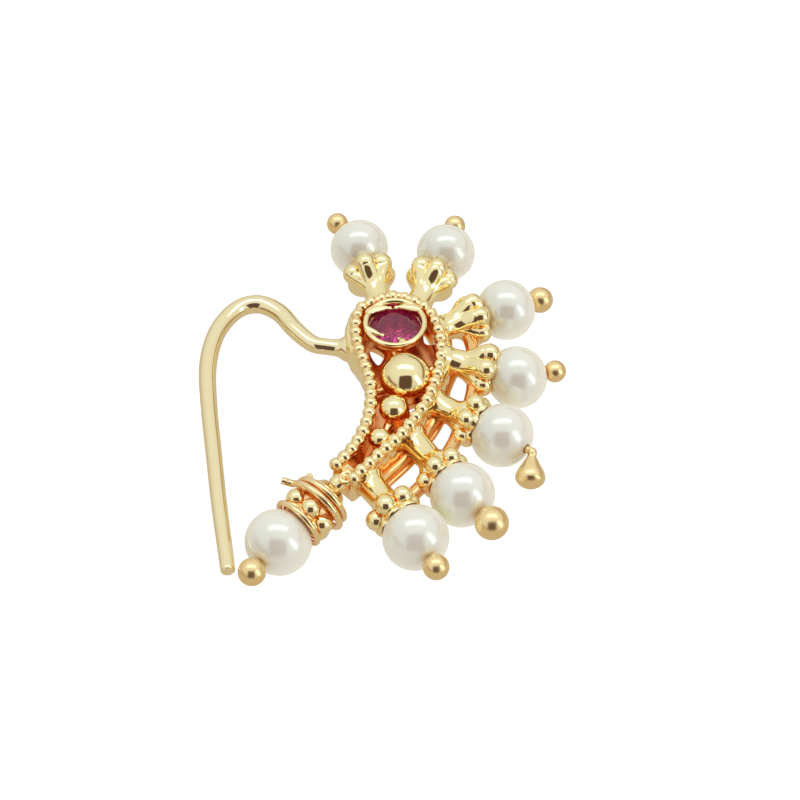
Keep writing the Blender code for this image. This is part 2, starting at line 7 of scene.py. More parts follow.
import logging
import math
from collections.abc import Sequence
from dataclasses import dataclass
from enum import Enum

import bmesh
import bpy
from mathutils import Matrix, Vector
from mathutils.bvhtree import BVHTree


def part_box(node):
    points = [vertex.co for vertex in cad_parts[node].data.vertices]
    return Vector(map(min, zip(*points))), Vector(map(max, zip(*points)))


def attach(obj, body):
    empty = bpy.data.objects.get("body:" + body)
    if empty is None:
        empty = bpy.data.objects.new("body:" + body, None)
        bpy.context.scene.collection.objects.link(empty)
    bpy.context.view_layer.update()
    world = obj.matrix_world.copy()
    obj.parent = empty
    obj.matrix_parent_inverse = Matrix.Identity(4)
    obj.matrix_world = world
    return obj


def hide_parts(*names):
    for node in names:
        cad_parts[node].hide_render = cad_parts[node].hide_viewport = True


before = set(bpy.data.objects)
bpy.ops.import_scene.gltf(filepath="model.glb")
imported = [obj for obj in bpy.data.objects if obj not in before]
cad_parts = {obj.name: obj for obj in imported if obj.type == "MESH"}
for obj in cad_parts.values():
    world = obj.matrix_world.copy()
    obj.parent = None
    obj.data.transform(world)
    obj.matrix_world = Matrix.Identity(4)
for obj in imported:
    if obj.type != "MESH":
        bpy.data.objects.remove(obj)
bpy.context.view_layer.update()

MM = 0.001
HOLLOW = "hollow"
THICK = "thick"
GOLD_BODY = ("gold_body",)
UP = Vector((0.0, 0.0, 1.0))

log = logging.getLogger("nose_ring")

Colour = tuple[float, float, float]
Rows = tuple[tuple[float, ...], ...]
Shape = bmesh.types.BMesh
Finish = bpy.types.Material
Ring = list[Vector]


class Slot(Enum):
    """The record's material slots."""

    GOLD = "gold"
    PEARL = "pearl"
    RUBY = "ruby"


# Node trees


class Wire:
    """An output socket that takes part in shader maths."""

    def __init__(self, graph: "Graph", socket: bpy.types.NodeSocket) -> None:
        """Keeps the graph that new Math nodes go into, and the socket."""
        self.graph = graph
        self.socket = socket

    def _math(self, operation: str, *values: "Wire | float") -> "Wire":
        """The result of a new Math node with these values in order."""
        return self.graph.add("ShaderNodeMath", dict(enumerate(values)), operation=operation)["Value"]

    def __add__(self, other: "Wire | float") -> "Wire":
        """Sum."""
        return self._math("ADD", self, other)

    def __radd__(self, other: float) -> "Wire":
        """Sum, from the right."""
        return self._math("ADD", other, self)

    def __sub__(self, other: "Wire | float") -> "Wire":
        """Difference."""
        return self._math("SUBTRACT", self, other)

    def __rsub__(self, other: float) -> "Wire":
        """Difference, from the right."""
        return self._math("SUBTRACT", other, self)

    def __mul__(self, other: "Wire | float") -> "Wire":
        """Product."""
        return self._math("MULTIPLY", self, other)

    def __truediv__(self, other: "Wire | float") -> "Wire":
        """Quotient."""
        return self._math("DIVIDE", self, other)

    def __abs__(self) -> "Wire":
        """Size without its sign."""
        return self._math("ABSOLUTE", self)

    def clipped(self) -> "Wire":
        """Held between 0 and 1."""
        return self._math("MINIMUM", self._math("MAXIMUM", self, 0.0), 1.0)

    def eased(self, low: float, high: float) -> "Wire":
        """A smooth step from 0 at low to 1 at high."""
        inputs = {"Value": self, "From Min": low, "From Max": high}
        return self.graph.add("ShaderNodeMapRange", inputs, interpolation_type="SMOOTHSTEP")["Result"]


class Made:
    """A node, whose outputs are read by name."""

    def __init__(self, graph: "Graph", node: bpy.types.Node) -> None:
        """Keeps the node and its graph."""
        self.graph = graph
        self.node = node

    def __getitem__(self, name: str) -> Wire:
        """The first usable output of that name."""
        return Wire(self.graph, next(s for s in self.node.outputs if s.name == name and s.enabled))


class Graph:
    """A node tree that is filled by calls to add."""

    def __init__(self, tree: bpy.types.NodeTree) -> None:
        """Empties the tree."""
        self.tree = tree
        tree.nodes.clear()

    def add(self, kind: str, inputs: dict[str | int, object] | None = None, **settings: object) -> Made:
        """Adds a node.

        Args:
            kind: the node's type.
            inputs: values or wires for its sockets, by name or index.
            settings: its own properties, set before its sockets.

        Returns:
            The node.
        """
        node = self.tree.nodes.new(kind)
        for name, value in settings.items():
            setattr(node, name, value)
        for name, value in (inputs or {}).items():
            if isinstance(name, int):
                socket = node.inputs[name]
            else:
                socket = next(s for s in node.inputs if s.name == name and s.enabled)
            if isinstance(value, Wire):
                self.tree.links.new(value.socket, socket)
            else:
                socket.default_value = value
        return Made(self, node)

    def place(self) -> Wire:
        """The point on the piece, in the piece's own axes."""
        return self.add("ShaderNodeTexCoord")["Object"]

    def hollow(self) -> Wire:
        """How closed in and turned down the point is, as HollowFinder wrote it: the mask of the painted shade
        and painted reflection.
        """
        return self.add("ShaderNodeAttribute", attribute_name=HOLLOW)["Fac"]

    def noise(self, vector: Wire, scale: float, detail: float) -> Wire:
        """A noise between 0 and 1 with about that many features a metre."""
        return self.add("ShaderNodeTexNoise", {"Vector": vector, "Scale": scale, "Detail": detail})["Fac"]

    def blend(self, factor: Wire, one: Colour | Wire, two: Colour | Wire) -> Wire:
        """A colour from one, at factor 0, to two, at factor 1."""
        ends = [value if isinstance(value, Wire) else (*value, 1.0) for value in (one, two)]
        made = self.add("ShaderNodeMix", {0: factor, 6: ends[0], 7: ends[1]}, data_type="RGBA")
        return Wire(self, made.node.outputs[2])

    def bump(self, height: Wire) -> Wire:
        """The normal of a surface that is raised by a height in metres."""
        return self.add("ShaderNodeBump", {"Strength": 1.0, "Distance": 1.0, "Height": height})["Normal"]

    def close_surface(self, inputs: dict[str | int, object]) -> None:
        """Ends a material with a Principled BSDF that has these inputs."""
        shader = self.add("ShaderNodeBsdfPrincipled", inputs)
        self.add("ShaderNodeOutputMaterial", {"Surface": shader["BSDF"]})


def shader_graph(name: str) -> tuple[Finish, Graph]:
    """A new material with an empty node tree."""
    material = bpy.data.materials.new(name)
    material.use_nodes = True
    return material, Graph(material.node_tree)


# Finishes


@dataclass(frozen=True)
class GoldFinish:
    """Hand-polished gold, paler on open surfaces, with a redder painted shade and painted reflection of gold
    where gold faces gold and on surfaces turned down.
    """

    name: str
    open_colour: Colour
    # The second colour is painted shade and painted reflection of gold, laid on closed-in points and
    # undersides
    shade_and_reflection_colour: Colour
    roughness: float = 0.085
    wave_height: float = 0.032 * MM
    wave_scale: float = 620.0
    dent_height: float = 0.011 * MM
    dent_scale: float = 1500.0
    grain_height: float = 0.0020 * MM
    grain_scale: float = 5200.0
    grain_roughness: float = 0.05
    hollow_roughness: float = 0.08
    hollow_range: tuple[float, float] = (0.24, 0.78)

    def make(self) -> Finish:
        """The material."""
        material, graph = shader_graph(self.name)
        place = graph.place()
        # depth is the share of painted shade and painted reflection, from how closed in and turned down the
        # point is
        depth = graph.hollow().eased(*self.hollow_range)
        wave = graph.noise(place, self.wave_scale, 1.5)
        dent = graph.noise(place, self.dent_scale, 1.0)
        grain = graph.noise(place, self.grain_scale, 3.0)
        height = wave * self.wave_height + dent * self.dent_height + grain * self.grain_height
        uneven = (grain - 0.5) * self.grain_roughness + depth * self.hollow_roughness
        graph.close_surface({
            "Base Color": graph.blend(depth, self.open_colour, self.shade_and_reflection_colour),
            "Metallic": 1.0,
            "Roughness": uneven + self.roughness,
            "Normal": graph.bump(height),
        })
        return material


@dataclass(frozen=True)
class PearlFinish:
    """White nacre: a soft body colour under a glossy skin, with cream that varies at random and a painted
    cream reflection of the gold beside it and on its underside.
    """

    name: str
    white: Colour = (1.0, 0.93, 0.81)
    # cream serves both the nacre's random tone and the painted reflection of the gold
    cream: Colour = (1.0, 0.93, 0.64)
    roughness: float = 0.20
    refraction: float = 3.3
    skin_tint: Colour = (0.80, 1.0, 1.0)
    depth: float = 0.5 * MM
    cloud_scale: float = 420.0
    skin_scale: float = 2600.0
    skin_height: float = 0.0012 * MM
    hollow_range: tuple[float, float] = (0.15, 0.75)

    def make(self) -> Finish:
        """The material."""
        material, graph = shader_graph(self.name)
        place = graph.place()
        cloud = graph.noise(place, self.cloud_scale, 2.0)
        skin = graph.noise(place, self.skin_scale, 2.0)
        # Cream share: random cloud tone, plus painted reflection of the gold where the point is closed in or
        # turned down
        tone_and_gold_reflection = (graph.hollow().eased(*self.hollow_range) * 0.8 + (cloud - 0.5) * 0.5).clipped()
        graph.close_surface({
            "Base Color": graph.blend(tone_and_gold_reflection, self.white, self.cream),
            "Roughness": self.roughness + skin * 0.05,
            "IOR": self.refraction,
            "Specular Tint": (*self.skin_tint, 1.0),
            "Subsurface Weight": 0.12,
            "Subsurface Radius": (1.0, 0.8, 0.6),
            "Subsurface Scale": self.depth,
            "Normal": graph.bump(skin * self.skin_height),
        })
        return material


@dataclass(frozen=True)
class RubyFinish:
    """Clear red-pink stone with faint silk inside."""

    name: str
    bright: Colour = (0.74, 0.07, 0.34)
    dark: Colour = (0.52, 0.03, 0.21)
    silk_scale: float = 1500.0
    roughness: float = 0.04
    refraction: float = 1.62
    clearness: float = 0.84

    def make(self) -> Finish:
        """The material."""
        material, graph = shader_graph(self.name)
        silk = graph.noise(graph.place(), self.silk_scale, 3.0).eased(0.35, 0.7)
        graph.close_surface({
            "Base Color": graph.blend(silk, self.bright, self.dark),
            "Roughness": self.roughness,
            "IOR": self.refraction,
            "Transmission Weight": self.clearness,
        })
        return material


# Meshes


def spline(points: Sequence[Sequence[float]], steps: int) -> list[Vector]:
    """Points along a Catmull-Rom curve.

    Args:
        points: the curve's own points, which may carry further values.
        steps: how many points each stretch gets.

    Returns:
        The finer points, with the last one.
    """
    own = [Vector(point) for point in points]
    padded = [2 * own[0] - own[1], *own, 2 * own[-1] - own[-2]]
    found = []
    for before, start, end, after in zip(padded, padded[1:], padded[2:], padded[3:]):
        for k in range(steps):
            t = k / steps
            found.append(
                0.5 * (2 * start + (end - before) * t)
                + 0.5 * (2 * before - 5 * start + 4 * end - after) * t**2
                + 0.5 * (3 * start - before - 3 * end + after) * t**3
            )
    found.append(own[-1])
    return found


def skin(rings: Sequence[Ring], closed: bool = False) -> Shape:
    """A mesh through rings with equal counts, or of one point at a pole.

    Args:
        rings: the rings in order.
        closed: joins the last ring to the first; otherwise both ends are capped.

    Returns:
        The mesh, with its faces pointing out.
    """
    bm = bmesh.new()
    made = [[bm.verts.new(point) for point in ring] for ring in rings]
    pairs = list(zip(made, made[1:]))
    if closed:
        pairs.append((made[-1], made[0]))
    else:
        for end in (made[0], made[-1]):
            if len(end) > 2:
                bm.faces.new(end)
    for one, two in pairs:
        count = max(len(one), len(two))
        for i in range(count):
            j = (i + 1) % count
            corners = [one[i % len(one)], one[j % len(one)], two[j % len(two)], two[i % len(two)]]
            bm.faces.new(list(dict.fromkeys(corners)))
    bmesh.ops.recalc_face_normals(bm, faces=bm.faces)
    return bm


def turned_ring(along: float, radius: float, sides: int, turn: float = 0.0) -> Ring:
    """Points round local X, counted from local Z; one point where the radius is nothing."""
    if radius < 1e-7:
        return [Vector((along, 0.0, 0.0))]
    steps = [turn + math.tau * i / sides for i in range(sides)]
    return [Vector((along, radius * math.sin(a), radius * math.cos(a))) for a in steps]


def turned(
    profile: Sequence[tuple[float, float]], sides: int, place: Matrix, closed: bool = False
) -> Shape:
    """A shape turned about local X.

    Args:
        profile: pairs of place along the axis and radius.
        sides: how many sides the shape has.
        place: where the shape goes.
        closed: joins the profile's ends, as for a ring.

    Returns:
        The mesh.
    """
    bm = skin([turned_ring(along, radius, sides) for along, radius in profile], closed)
    bm.transform(place)
    return bm


def prism(outline: Sequence[Vector], low: float, high: float) -> Shape:
    """An upright block over an outline, from one height to another."""
    return skin([[Vector((p.x, p.y, z)) for p in outline] for z in (low, high)])


def pointing(at: Vector, heading: float, rise: float = 0.0) -> Matrix:
    """Local X looks along heading and rise, in degrees, and local Z stays upright."""
    turn = Matrix.Rotation(math.radians(heading), 4, "Z") @ Matrix.Rotation(-math.radians(rise), 4, "Y")
    return Matrix.Translation(at) @ turn


def direction(heading: float, rise: float) -> Vector:
    """The direction with that heading and rise, in degrees."""
    return (pointing(Vector(), heading, rise).to_3x3() @ Vector((1, 0, 0))).normalized()


def standing(at: Vector) -> Matrix:
    """Local X looks up."""
    return pointing(at, 0.0, 90.0)


def ball(radius: float, segments: int, rings: int, place: Matrix) -> Shape:
    """A ball with that many segments and rings, set at a place.

    Its points come in the same order at each run. Its rings run from front to back, so that its faces point
    out by themselves: balls under about 0.3 mm are too small for normals to be worked out again.
    """
    angles = [math.pi * i / rings for i in range(rings + 1)]
    profile = [(radius * math.cos(a), radius * math.sin(a)) for a in angles]
    return turned(profile, segments, place @ standing(Vector()))


def tube(
    points: Sequence[Vector], widths: Sequence[float], heights: Sequence[float], sides: int
) -> Shape:
    """A strip or wire swept through points.

    Args:
        points: the centreline.
        widths: half the width at each point, across the path and level.
        heights: half the height at each point.
        sides: the section's sides.

    Returns:
        The mesh, with capped ends.
    """
    rings = []
    side = None
    steps = [math.tau * k / sides for k in range(sides)]
    for i, point in enumerate(points):
        along = (points[min(i + 1, len(points) - 1)] - points[max(i - 1, 0)]).normalized()
        if side is None:
            side = along.orthogonal().normalized() if abs(along.z) > 0.9 else UP.cross(along)
        side = (side - along * side.dot(along)).normalized()
        up = along.cross(side)
        wide, tall = widths[i], heights[i]
        rings.append([point + side * (wide * math.cos(a)) + up * (tall * math.sin(a)) for a in steps])
    return skin(rings)


def mesh_of(name: str, shape: Shape) -> bpy.types.Mesh:
    """The shape as a mesh; the shape itself is freed."""
    mesh = bpy.data.meshes.new(name)
    shape.to_mesh(mesh)
    shape.free()
    return mesh


def joined(parts: Sequence[Shape]) -> Shape:
    """All parts in one mesh; the parts themselves are freed."""
    whole = bmesh.new()
    for part in parts:
        spare = mesh_of("spare", part)
        whole.from_mesh(spare)
        bpy.data.meshes.remove(spare)
    return whole


def put(name: str, data: bpy.types.ID) -> bpy.types.Object:
    """A new object in the scene with that data."""
    made = bpy.data.objects.new(name, data)
    bpy.context.scene.collection.objects.link(made)
    return made


def worked_out(made: bpy.types.Object) -> bpy.types.Mesh:
    """The object's mesh after its modifiers."""
    graph = bpy.context.evaluated_depsgraph_get()
    return bpy.data.meshes.new_from_object(made.evaluated_get(graph))


# Bench


class Bench:
    """Sets finished meshes down over the solids and keeps the list of pieces."""

    def __init__(self) -> None:
        """Reads the ruby's centre and the height of the pearls' middles from the frame."""
        low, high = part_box("ruby")
        pearl_low, pearl_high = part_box("pearl_1")
        middle = (low + high) / 2
        self.origin = Vector((middle.x, middle.y, (pearl_low.z + pearl_high.z) / 2))
        self.pieces: list[bpy.types.Object] = []

    def lay(
        self,
        name: str,
        shape: Shape,
        finish: Finish,
        slot: Slot = Slot.GOLD,
        nodes: Sequence[str] = GOLD_BODY,
        sharp: float = 40.0,
    ) -> None:
        """Makes a piece of a mesh.

        Args:
            name: the piece's name.
            shape: its mesh about the ruby's centre, which is freed.
            finish: its material.
            slot: the record's slot for it; not used.
            nodes: the CAD nodes that it stands for.
            sharp: edges with a larger angle, in degrees, stay crisp.
        """
        shape.transform(Matrix.Translation(self.origin))
        mesh = mesh_of(name, shape)
        mesh.materials.append(finish)
        mesh.shade_smooth()
        mesh.set_sharp_from_angle(angle=math.radians(sharp))
        self.keep(put(name, mesh), slot, nodes)

    def keep(self, piece: bpy.types.Object, slot: Slot, nodes: Sequence[str]) -> None:
        """Ties a piece to the root body, hides the CAD nodes that it stands for, and keeps it in the list."""
        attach(piece, "root")
        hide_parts(*nodes)
        self.pieces.append(piece)
        log.info("%s: %d faces", piece.name, len(piece.data.polygons))


@dataclass(frozen=True)
class Tree:
    """A Geometry Nodes tree, and its inputs' identifiers by name."""

    group: bpy.types.NodeTree
    inputs: dict[str, str]


class Threader:
    """Runs Geometry Nodes trees along paths and turns the results into plain pieces."""

    def __init__(self, bench: Bench) -> None:
        """Builds the two trees."""
        self.bench = bench
        self.sweep = self._make_sweep()
        self.string = self._make_string()

    @staticmethod
    def _begin(name: str, rows: Sequence[tuple[str, str]]) -> tuple[Tree, Graph, Made]:
        """Starts a tree that takes a path and a finish and gives a piece.

        Args:
            name: the tree's name.
            rows: pairs of name and kind for its other inputs.

        Returns:
            The tree, its graph and the node that holds its inputs.
        """
        group = bpy.data.node_groups.new(name, "GeometryNodeTree")
        graph = Graph(group)
        face = group.interface
        found = {}
        for label, kind in (("Path", "Geometry"), *rows, ("Finish", "Material")):
            made = face.new_socket(name=label, in_out="INPUT", socket_type=f"NodeSocket{kind}")
            found[label] = made.identifier
        face.new_socket(name="Piece", in_out="OUTPUT", socket_type="NodeSocketGeometry")
        return Tree(group, found), graph, graph.add("NodeGroupInput")

    @staticmethod
    def _swept(graph: Graph, start: Made, diameter: Wire, sides: Wire | int) -> tuple[Wire, Wire]:
        """The path as a curve, and a round wire along it that thickens as the path's points say."""
        curve = graph.add("GeometryNodeMeshToCurve", {"Mesh": start["Path"]})["Curve"]
        thick = graph.add("GeometryNodeInputNamedAttribute", {"Name": THICK}, data_type="FLOAT")["Attribute"]
        circle = {"Resolution": sides, "Radius": diameter * 0.5}
        section = graph.add("GeometryNodeCurvePrimitiveCircle", circle)["Curve"]
        swept = {"Curve": curve, "Profile Curve": section, "Scale": thick, "Fill Caps": True}
        return curve, graph.add("GeometryNodeCurveToMesh", swept)["Mesh"]

    @staticmethod
    def _end(graph: Graph, mesh: Wire, finish: Wire) -> None:
        """Realises, smooths and dresses the mesh, and ends the tree."""
        real = graph.add("GeometryNodeRealizeInstances", {"Geometry": mesh})["Geometry"]
        smooth = graph.add("GeometryNodeSetShadeSmooth", {"Geometry": real})["Geometry"]
        dressed = graph.add("GeometryNodeSetMaterial", {"Geometry": smooth, "Material": finish})["Geometry"]
        graph.add("NodeGroupOutput", {"Piece": dressed})

    def _make_sweep(self) -> Tree:
        """A round wire along a path."""
        tree, graph, start = self._begin("swept_wire", (("Diameter", "Float"), ("Sides", "Int")))
        _, wire = self._swept(graph, start, start["Diameter"], start["Sides"])
        self._end(graph, wire, start["Finish"])
        return tree

    def _make_string(self) -> Tree:
        """A string of beads on a core wire along a path."""
        sizes = ("Bead Diameter", "Bead Length", "Core Diameter", "Unevenness")
        rows = (("Beads", "Int"), *((label, "Float") for label in sizes))
        tree, graph, start = self._begin("beaded_wire", rows)
        path, core = self._swept(graph, start, start["Core Diameter"], 10)
        places = graph.add("GeometryNodeResampleCurve", {"Curve": path, "Count": start["Beads"]})["Curve"]
        sphere = {"Segments": 16, "Rings": 10, "Radius": start["Bead Diameter"] * 0.5}
        round_bead = graph.add("GeometryNodeMeshUVSphere", sphere)["Mesh"]
        stretch = {"X": 1.0, "Y": 1.0, "Z": start["Bead Length"] / start["Bead Diameter"]}
        shape = graph.add("ShaderNodeCombineXYZ", stretch)["Vector"]
        bead = graph.add("GeometryNodeTransform", {"Geometry": round_bead, "Scale": shape})["Geometry"]
        tangent = graph.add("GeometryNodeInputTangent")["Tangent"]
        turn = graph.add("FunctionNodeAlignRotationToVector", {"Vector": tangent}, axis="Z")["Rotation"]
        sizes = {"Min": 1.0 - start["Unevenness"], "Max": 1.0 + start["Unevenness"], "Seed": 7}
        size = graph.add("FunctionNodeRandomValue", sizes, data_type="FLOAT")["Value"]
        strung = {"Points": places, "Instance": bead, "Rotation": turn, "Scale": size}
        beads = graph.add("GeometryNodeInstanceOnPoints", strung)["Instances"]
        loose = graph.add("GeometryNodeRealizeInstances", {"Geometry": beads})["Geometry"]
        both = graph.add("GeometryNodeJoinGeometry")
        for part in (core, loose):
            graph.tree.links.new(part.socket, both.node.inputs["Geometry"])
        self._end(graph, both["Geometry"], start["Finish"])
        return tree

    def run(
        self,
        name: str,
        tree: Tree,
        values: dict[str, object],
        points: Sequence[Vector],
        thicknesses: Sequence[float] | None = None,
        nodes: Sequence[str] = GOLD_BODY,
    ) -> None:
        """Makes a gold piece with one of the trees, as a plain mesh.

        Args:
            name: the piece's name.
            tree: the tree.
            values: what its inputs get, by name.
            points: the path, about the ruby's centre.
            thicknesses: the wire's share of its diameter at each point; all of it without them.
            nodes: the CAD nodes that the piece stands for.
        """
        path = bpy.data.meshes.new(name + "_path")
        moved = [point + self.bench.origin for point in points]
        path.from_pydata(moved, [(i, i + 1) for i in range(len(moved) - 1)], [])
        shares = thicknesses or [1.0] * len(points)
        path.attributes.new(THICK, "FLOAT", "POINT").data.foreach_set("value", shares)
        host = put(name + "_path", path)
        modifier = host.modifiers.new("thread", "NODES")
        modifier.node_group = tree.group
        for label, value in values.items():
            modifier[tree.inputs[label]] = value
        mesh = worked_out(host)
        bpy.data.objects.remove(host)
        bpy.data.meshes.remove(path)
        mesh.name = name
        self.bench.keep(put(name, mesh), Slot.GOLD, nodes)

    def wire(
        self,
        name: str,
        points: Sequence[Vector],
        diameter: float,
        sides: int,
        finish: Finish,
        thicknesses: Sequence[float] | None = None,
        nodes: Sequence[str] = GOLD_BODY,
    ) -> None:
        """A round wire through the points."""
        values = {"Diameter": diameter, "Sides": sides, "Finish": finish}
        self.run(name, self.sweep, values, points, thicknesses, nodes)


# Layout of the body


@dataclass(frozen=True)
class Body:
    """Driving sizes of the body, as the solids have them."""

    length: float = 13.4 * MM
    width: float = 4.85 * MM
    top: float = 2.3 * MM
    face: float = 1.05 * MM
    back: float = -0.85 * MM
    back_thickness: float = 0.40 * MM
    wall_inside: float = 0.20 * MM
    wall_lip: float = 0.35 * MM
    tail_rounding: float = 0.035
    # Sections: down as a share of the length, left and right as shares of the width, and their lips as
    # shares of wall_lip
    sections: Rows = (
        (0.058, -0.369, 0.336, 0.6, 0.3),
        (0.157, -0.456, 0.480, 1.0, 0.7),
        (0.269, -0.435, 0.536, 0.95, 0.9),
        (0.370, -0.357, 0.522, 0.2, 0.9),
        (0.468, -0.289, 0.462, 0.0, 0.6),
        (0.575, -0.268, 0.369, 0.0, 0.4),
        (0.675, -0.299, 0.223, 0.0, 0.2),
        (0.772, -0.381, 0.043, 0.0, 0.1),
        (0.860, -0.518, -0.169, 0.0, 0.05),
        (0.929, -0.680, -0.334, 0.0, 0.0),
    )
    tail_tip: tuple[float, float] = (1.0, -0.480)
    top_lip: float = 0.4


class Rail:
    """The rope's path: up the left side from the tail, round the top and down the right side."""

    def __init__(self, body: Body) -> None:
        """Runs a smooth curve through the body's sections."""
        self.body = body
        left, right = ([self._corner(row, side) for row in body.sections] for side in (1, 2))
        top = (0.0, body.top, body.top_lip * body.wall_lip, 0.0)
        tip = (body.tail_tip[1] * body.width, self.level(body.tail_tip[0]), 0.0, 0.0)
        self.points = spline([*reversed(left), top, *right, tip], 12)
        self.lengths = [0.0]
        for one, two in zip(self.points, self.points[1:]):
            self.lengths.append(self.lengths[-1] + (two.xy - one.xy).length)

    def _corner(self, section: tuple[float, ...], side: int) -> tuple[float, ...]:
        """The path's point at a section, on its left for side 1 and on its right for side 2, with the lip."""
        lip = section[side + 2] * self.body.wall_lip
        return section[side] * self.body.width, self.level(section[0]), lip, 0.0

    def level(self, down: float) -> float:
        """Y at a share of the body's length below its top."""
        return self.body.top - down * self.body.length

    @property
    def length(self) -> float:
        """The rope's whole length."""
        return self.lengths[-1]

    def at(self, share: float) -> tuple[Vector, Vector, float]:
        """The place, the direction out of the body and the wall's lip at a share of the length."""
        wanted = min(max(share, 0.0), 1.0) * self.length
        i = max(k for k in range(len(self.points) - 1) if self.lengths[k] <= wanted or k == 0)
        one, two = self.points[i], self.points[i + 1]
        here = one.lerp(two, (wanted - self.lengths[i]) / (self.lengths[i + 1] - self.lengths[i]))
        before, after = self.points[max(i - 1, 0)], self.points[min(i + 2, len(self.points) - 1)]
        along = (after.xy - before.xy).normalized()
        return Vector((here.x, here.y, 0.0)), Vector((-along.y, along.x, 0.0)), here.z

    def offset(self, share: float, out: float, height: float = 0.0) -> Vector:
        """A point beside the path."""
        place, outward, _ = self.at(share)
        return place + outward * out + Vector((0.0, 0.0, height))


@dataclass
class FrameWall:
    """The curved wall with its belly, and the pierced back inside it."""

    rail: Rail
    skin_out: float = 0.20 * MM
    belly: float = 1.25
    stations: int = 340
    tail_stations: int = 10
    ridge: float = 0.035 * MM
    ridge_pitch: float = 0.67 * MM
    # The inner face runs on this part of the rope's path, as shares of its length
    inner_from: float = 0.03
    inner_share: float = 0.94
    # The back's edge lies this share of the way from the rope's path to the wall's inner face
    back_inside: float = 0.6
    back_stations: int = 90
    drill_half: float = 2.0 * MM
    # Round the section from the inner foot: share of the wall's width, inward step in mm and height in mm
    section: Rows = (
        (0.0, 0.10, -0.85),
        (0.0, 0.09, -0.52),
        (0.0, 0.05, -0.40),
        (0.0, 0.02, -0.22),
        (0.0, 0.00, 0.10),
        (0.0, 0.00, 0.50),
        (0.0, 0.00, 0.88),
        (0.0, -0.03, 0.98),
        (0.0, -0.10, 1.04),
        (0.52, 0.0, 1.05),
        (0.72, 0.0, 1.01),
        (0.86, 0.0, 0.90),
        (0.95, 0.0, 0.68),
        (1.0, 0.0, 0.35),
        (1.0, 0.0, -0.05),
        (0.97, 0.0, -0.42),
        (0.90, 0.0, -0.70),
        (0.76, 0.0, -0.85),
    )
    # Holes through the back: their corners across and up in mm from the ruby's centre
    holes: tuple[Rows, ...] = (
        ((-1.50, -0.18), (-1.02, -0.42), (-0.62, -0.84), (-0.74, -1.30), (-0.98, -1.60), (-1.34, -1.02)),
        ((1.62, 0.98), (2.16, 0.92), (2.27, 0.46), (2.22, -0.02), (1.70, 0.08)),
        ((0.76, -4.62), (1.12, -4.48), (1.22, -5.02), (0.86, -5.14)),
        ((0.50, 0.99), (0.30, 1.34), (-0.10, 1.34), (-0.30, 0.99), (-0.10, 0.64), (0.30, 0.64)),
    )

    def _edges(self) -> list[tuple[Vector, Vector]]:
        """Pairs of a point on the wall's inner face and one on its outer face, all the way round."""
        rail, body = self.rail, self.rail.body
        pairs = []
        for k in range(self.stations + 1):
            share = k / self.stations
            ease = min(1.0, share / body.tail_rounding, (1.0 - share) / body.tail_rounding)
            ridge = self.ridge * abs(math.sin(math.pi * share * rail.length / self.ridge_pitch))
            out = math.sqrt(ease) * (self.skin_out + self.belly * rail.at(share)[2] + ridge)
            inner = rail.offset(self.inner_from + self.inner_share * share, -body.wall_inside)
            pairs.append((inner, rail.offset(share, out)))
        first, last = pairs[0], pairs[-1]
        for k in range(1, self.tail_stations):
            part = k / self.tail_stations
            pairs.append((last[0].lerp(first[0], part), last[1].lerp(first[1], part)))
        return pairs

    def wall(self) -> Shape:
        """The wall as one closed band."""
        rings = []
        for inner, outer in self._edges():
            across = outer - inner
            outward = across.normalized()
            ring = []
            for share, inward, height in self.section:
                ring.append(inner + across * share - outward * (inward * MM) + Vector((0, 0, height * MM)))
            rings.append(ring)
        return skin(rings, closed=True)

    def back(self) -> Shape:
        """The pierced back, cut by holes with soft corners."""
        body = self.rail.body
        count = self.back_stations
        shares = [self.inner_from + self.inner_share * k / count for k in range(count + 1)]
        edge = [self.rail.offset(share, -self.back_inside * body.wall_inside) for share in shares]
        block = prism(edge, body.back, body.back + body.back_thickness)
        plate = put("back_plate", mesh_of("back_plate", block))
        for corners in self.holes:
            rim = spline([(x * MM, y * MM, 0.0) for x, y in (*corners, corners[0])], 4)[:-1]
            drill = prism(rim, body.back - self.drill_half, body.back + self.drill_half)
            cutter = put("drill", mesh_of("drill", drill))
            modifier = plate.modifiers.new("pierce", "BOOLEAN")
            modifier.operation = "DIFFERENCE"
            modifier.solver = "EXACT"
            modifier.object = cutter
            pierced = worked_out(plate)
            plate.modifiers.clear()
            plate.data = pierced
            bpy.data.objects.remove(cutter)
        shape = bmesh.new()
        shape.from_mesh(plate.data)
        bpy.data.objects.remove(plate)
        bmesh.ops.triangulate(shape, faces=[f for f in shape.faces if len(f.verts) > 4])
        bmesh.ops.recalc_face_normals(shape, faces=shape.faces)
        return shape

    def lay(self, bench: Bench, gold: Finish, shaded_gold: Finish) -> None:
        """Sets down the wall and the back."""
        bench.lay("body_wall", self.wall(), gold)
        # The back takes the darker, redder copy of the gold, as painted shade and painted reflection of gold
        bench.lay("back_plate", self.back(), shaded_gold, sharp=30.0)


@dataclass
class BeadRope:
    """The string of touching beads on the wall's front edge."""

    rail: Rail
    diameter: float = 0.78 * MM
    pitch: float = 0.67 * MM
    rise: float = 0.03 * MM
    core: float = 0.58 * MM
    bead_share: float = 1.04
    unevenness: float = 0.035

    def lay(self, threader: Threader, gold: Finish) -> None:
        """Threads the beads."""
        beads = round(self.rail.length / self.pitch)
        height = self.rail.body.face + self.rise
        first = 0.5 / beads
        steps = 3 * beads
        shares = [first + (1 - 2 * first) * k / steps for k in range(steps + 1)]
        points = [self.rail.offset(share, 0.0, height) for share in shares]
        values = {
            "Beads": beads,
            "Bead Diameter": self.diameter,
            "Bead Length": self.pitch * self.bead_share,
            "Core Diameter": self.core,
            "Unevenness": self.unevenness,
            "Finish": gold,
        }
        threader.run("bead_rope", threader.string, values, points)


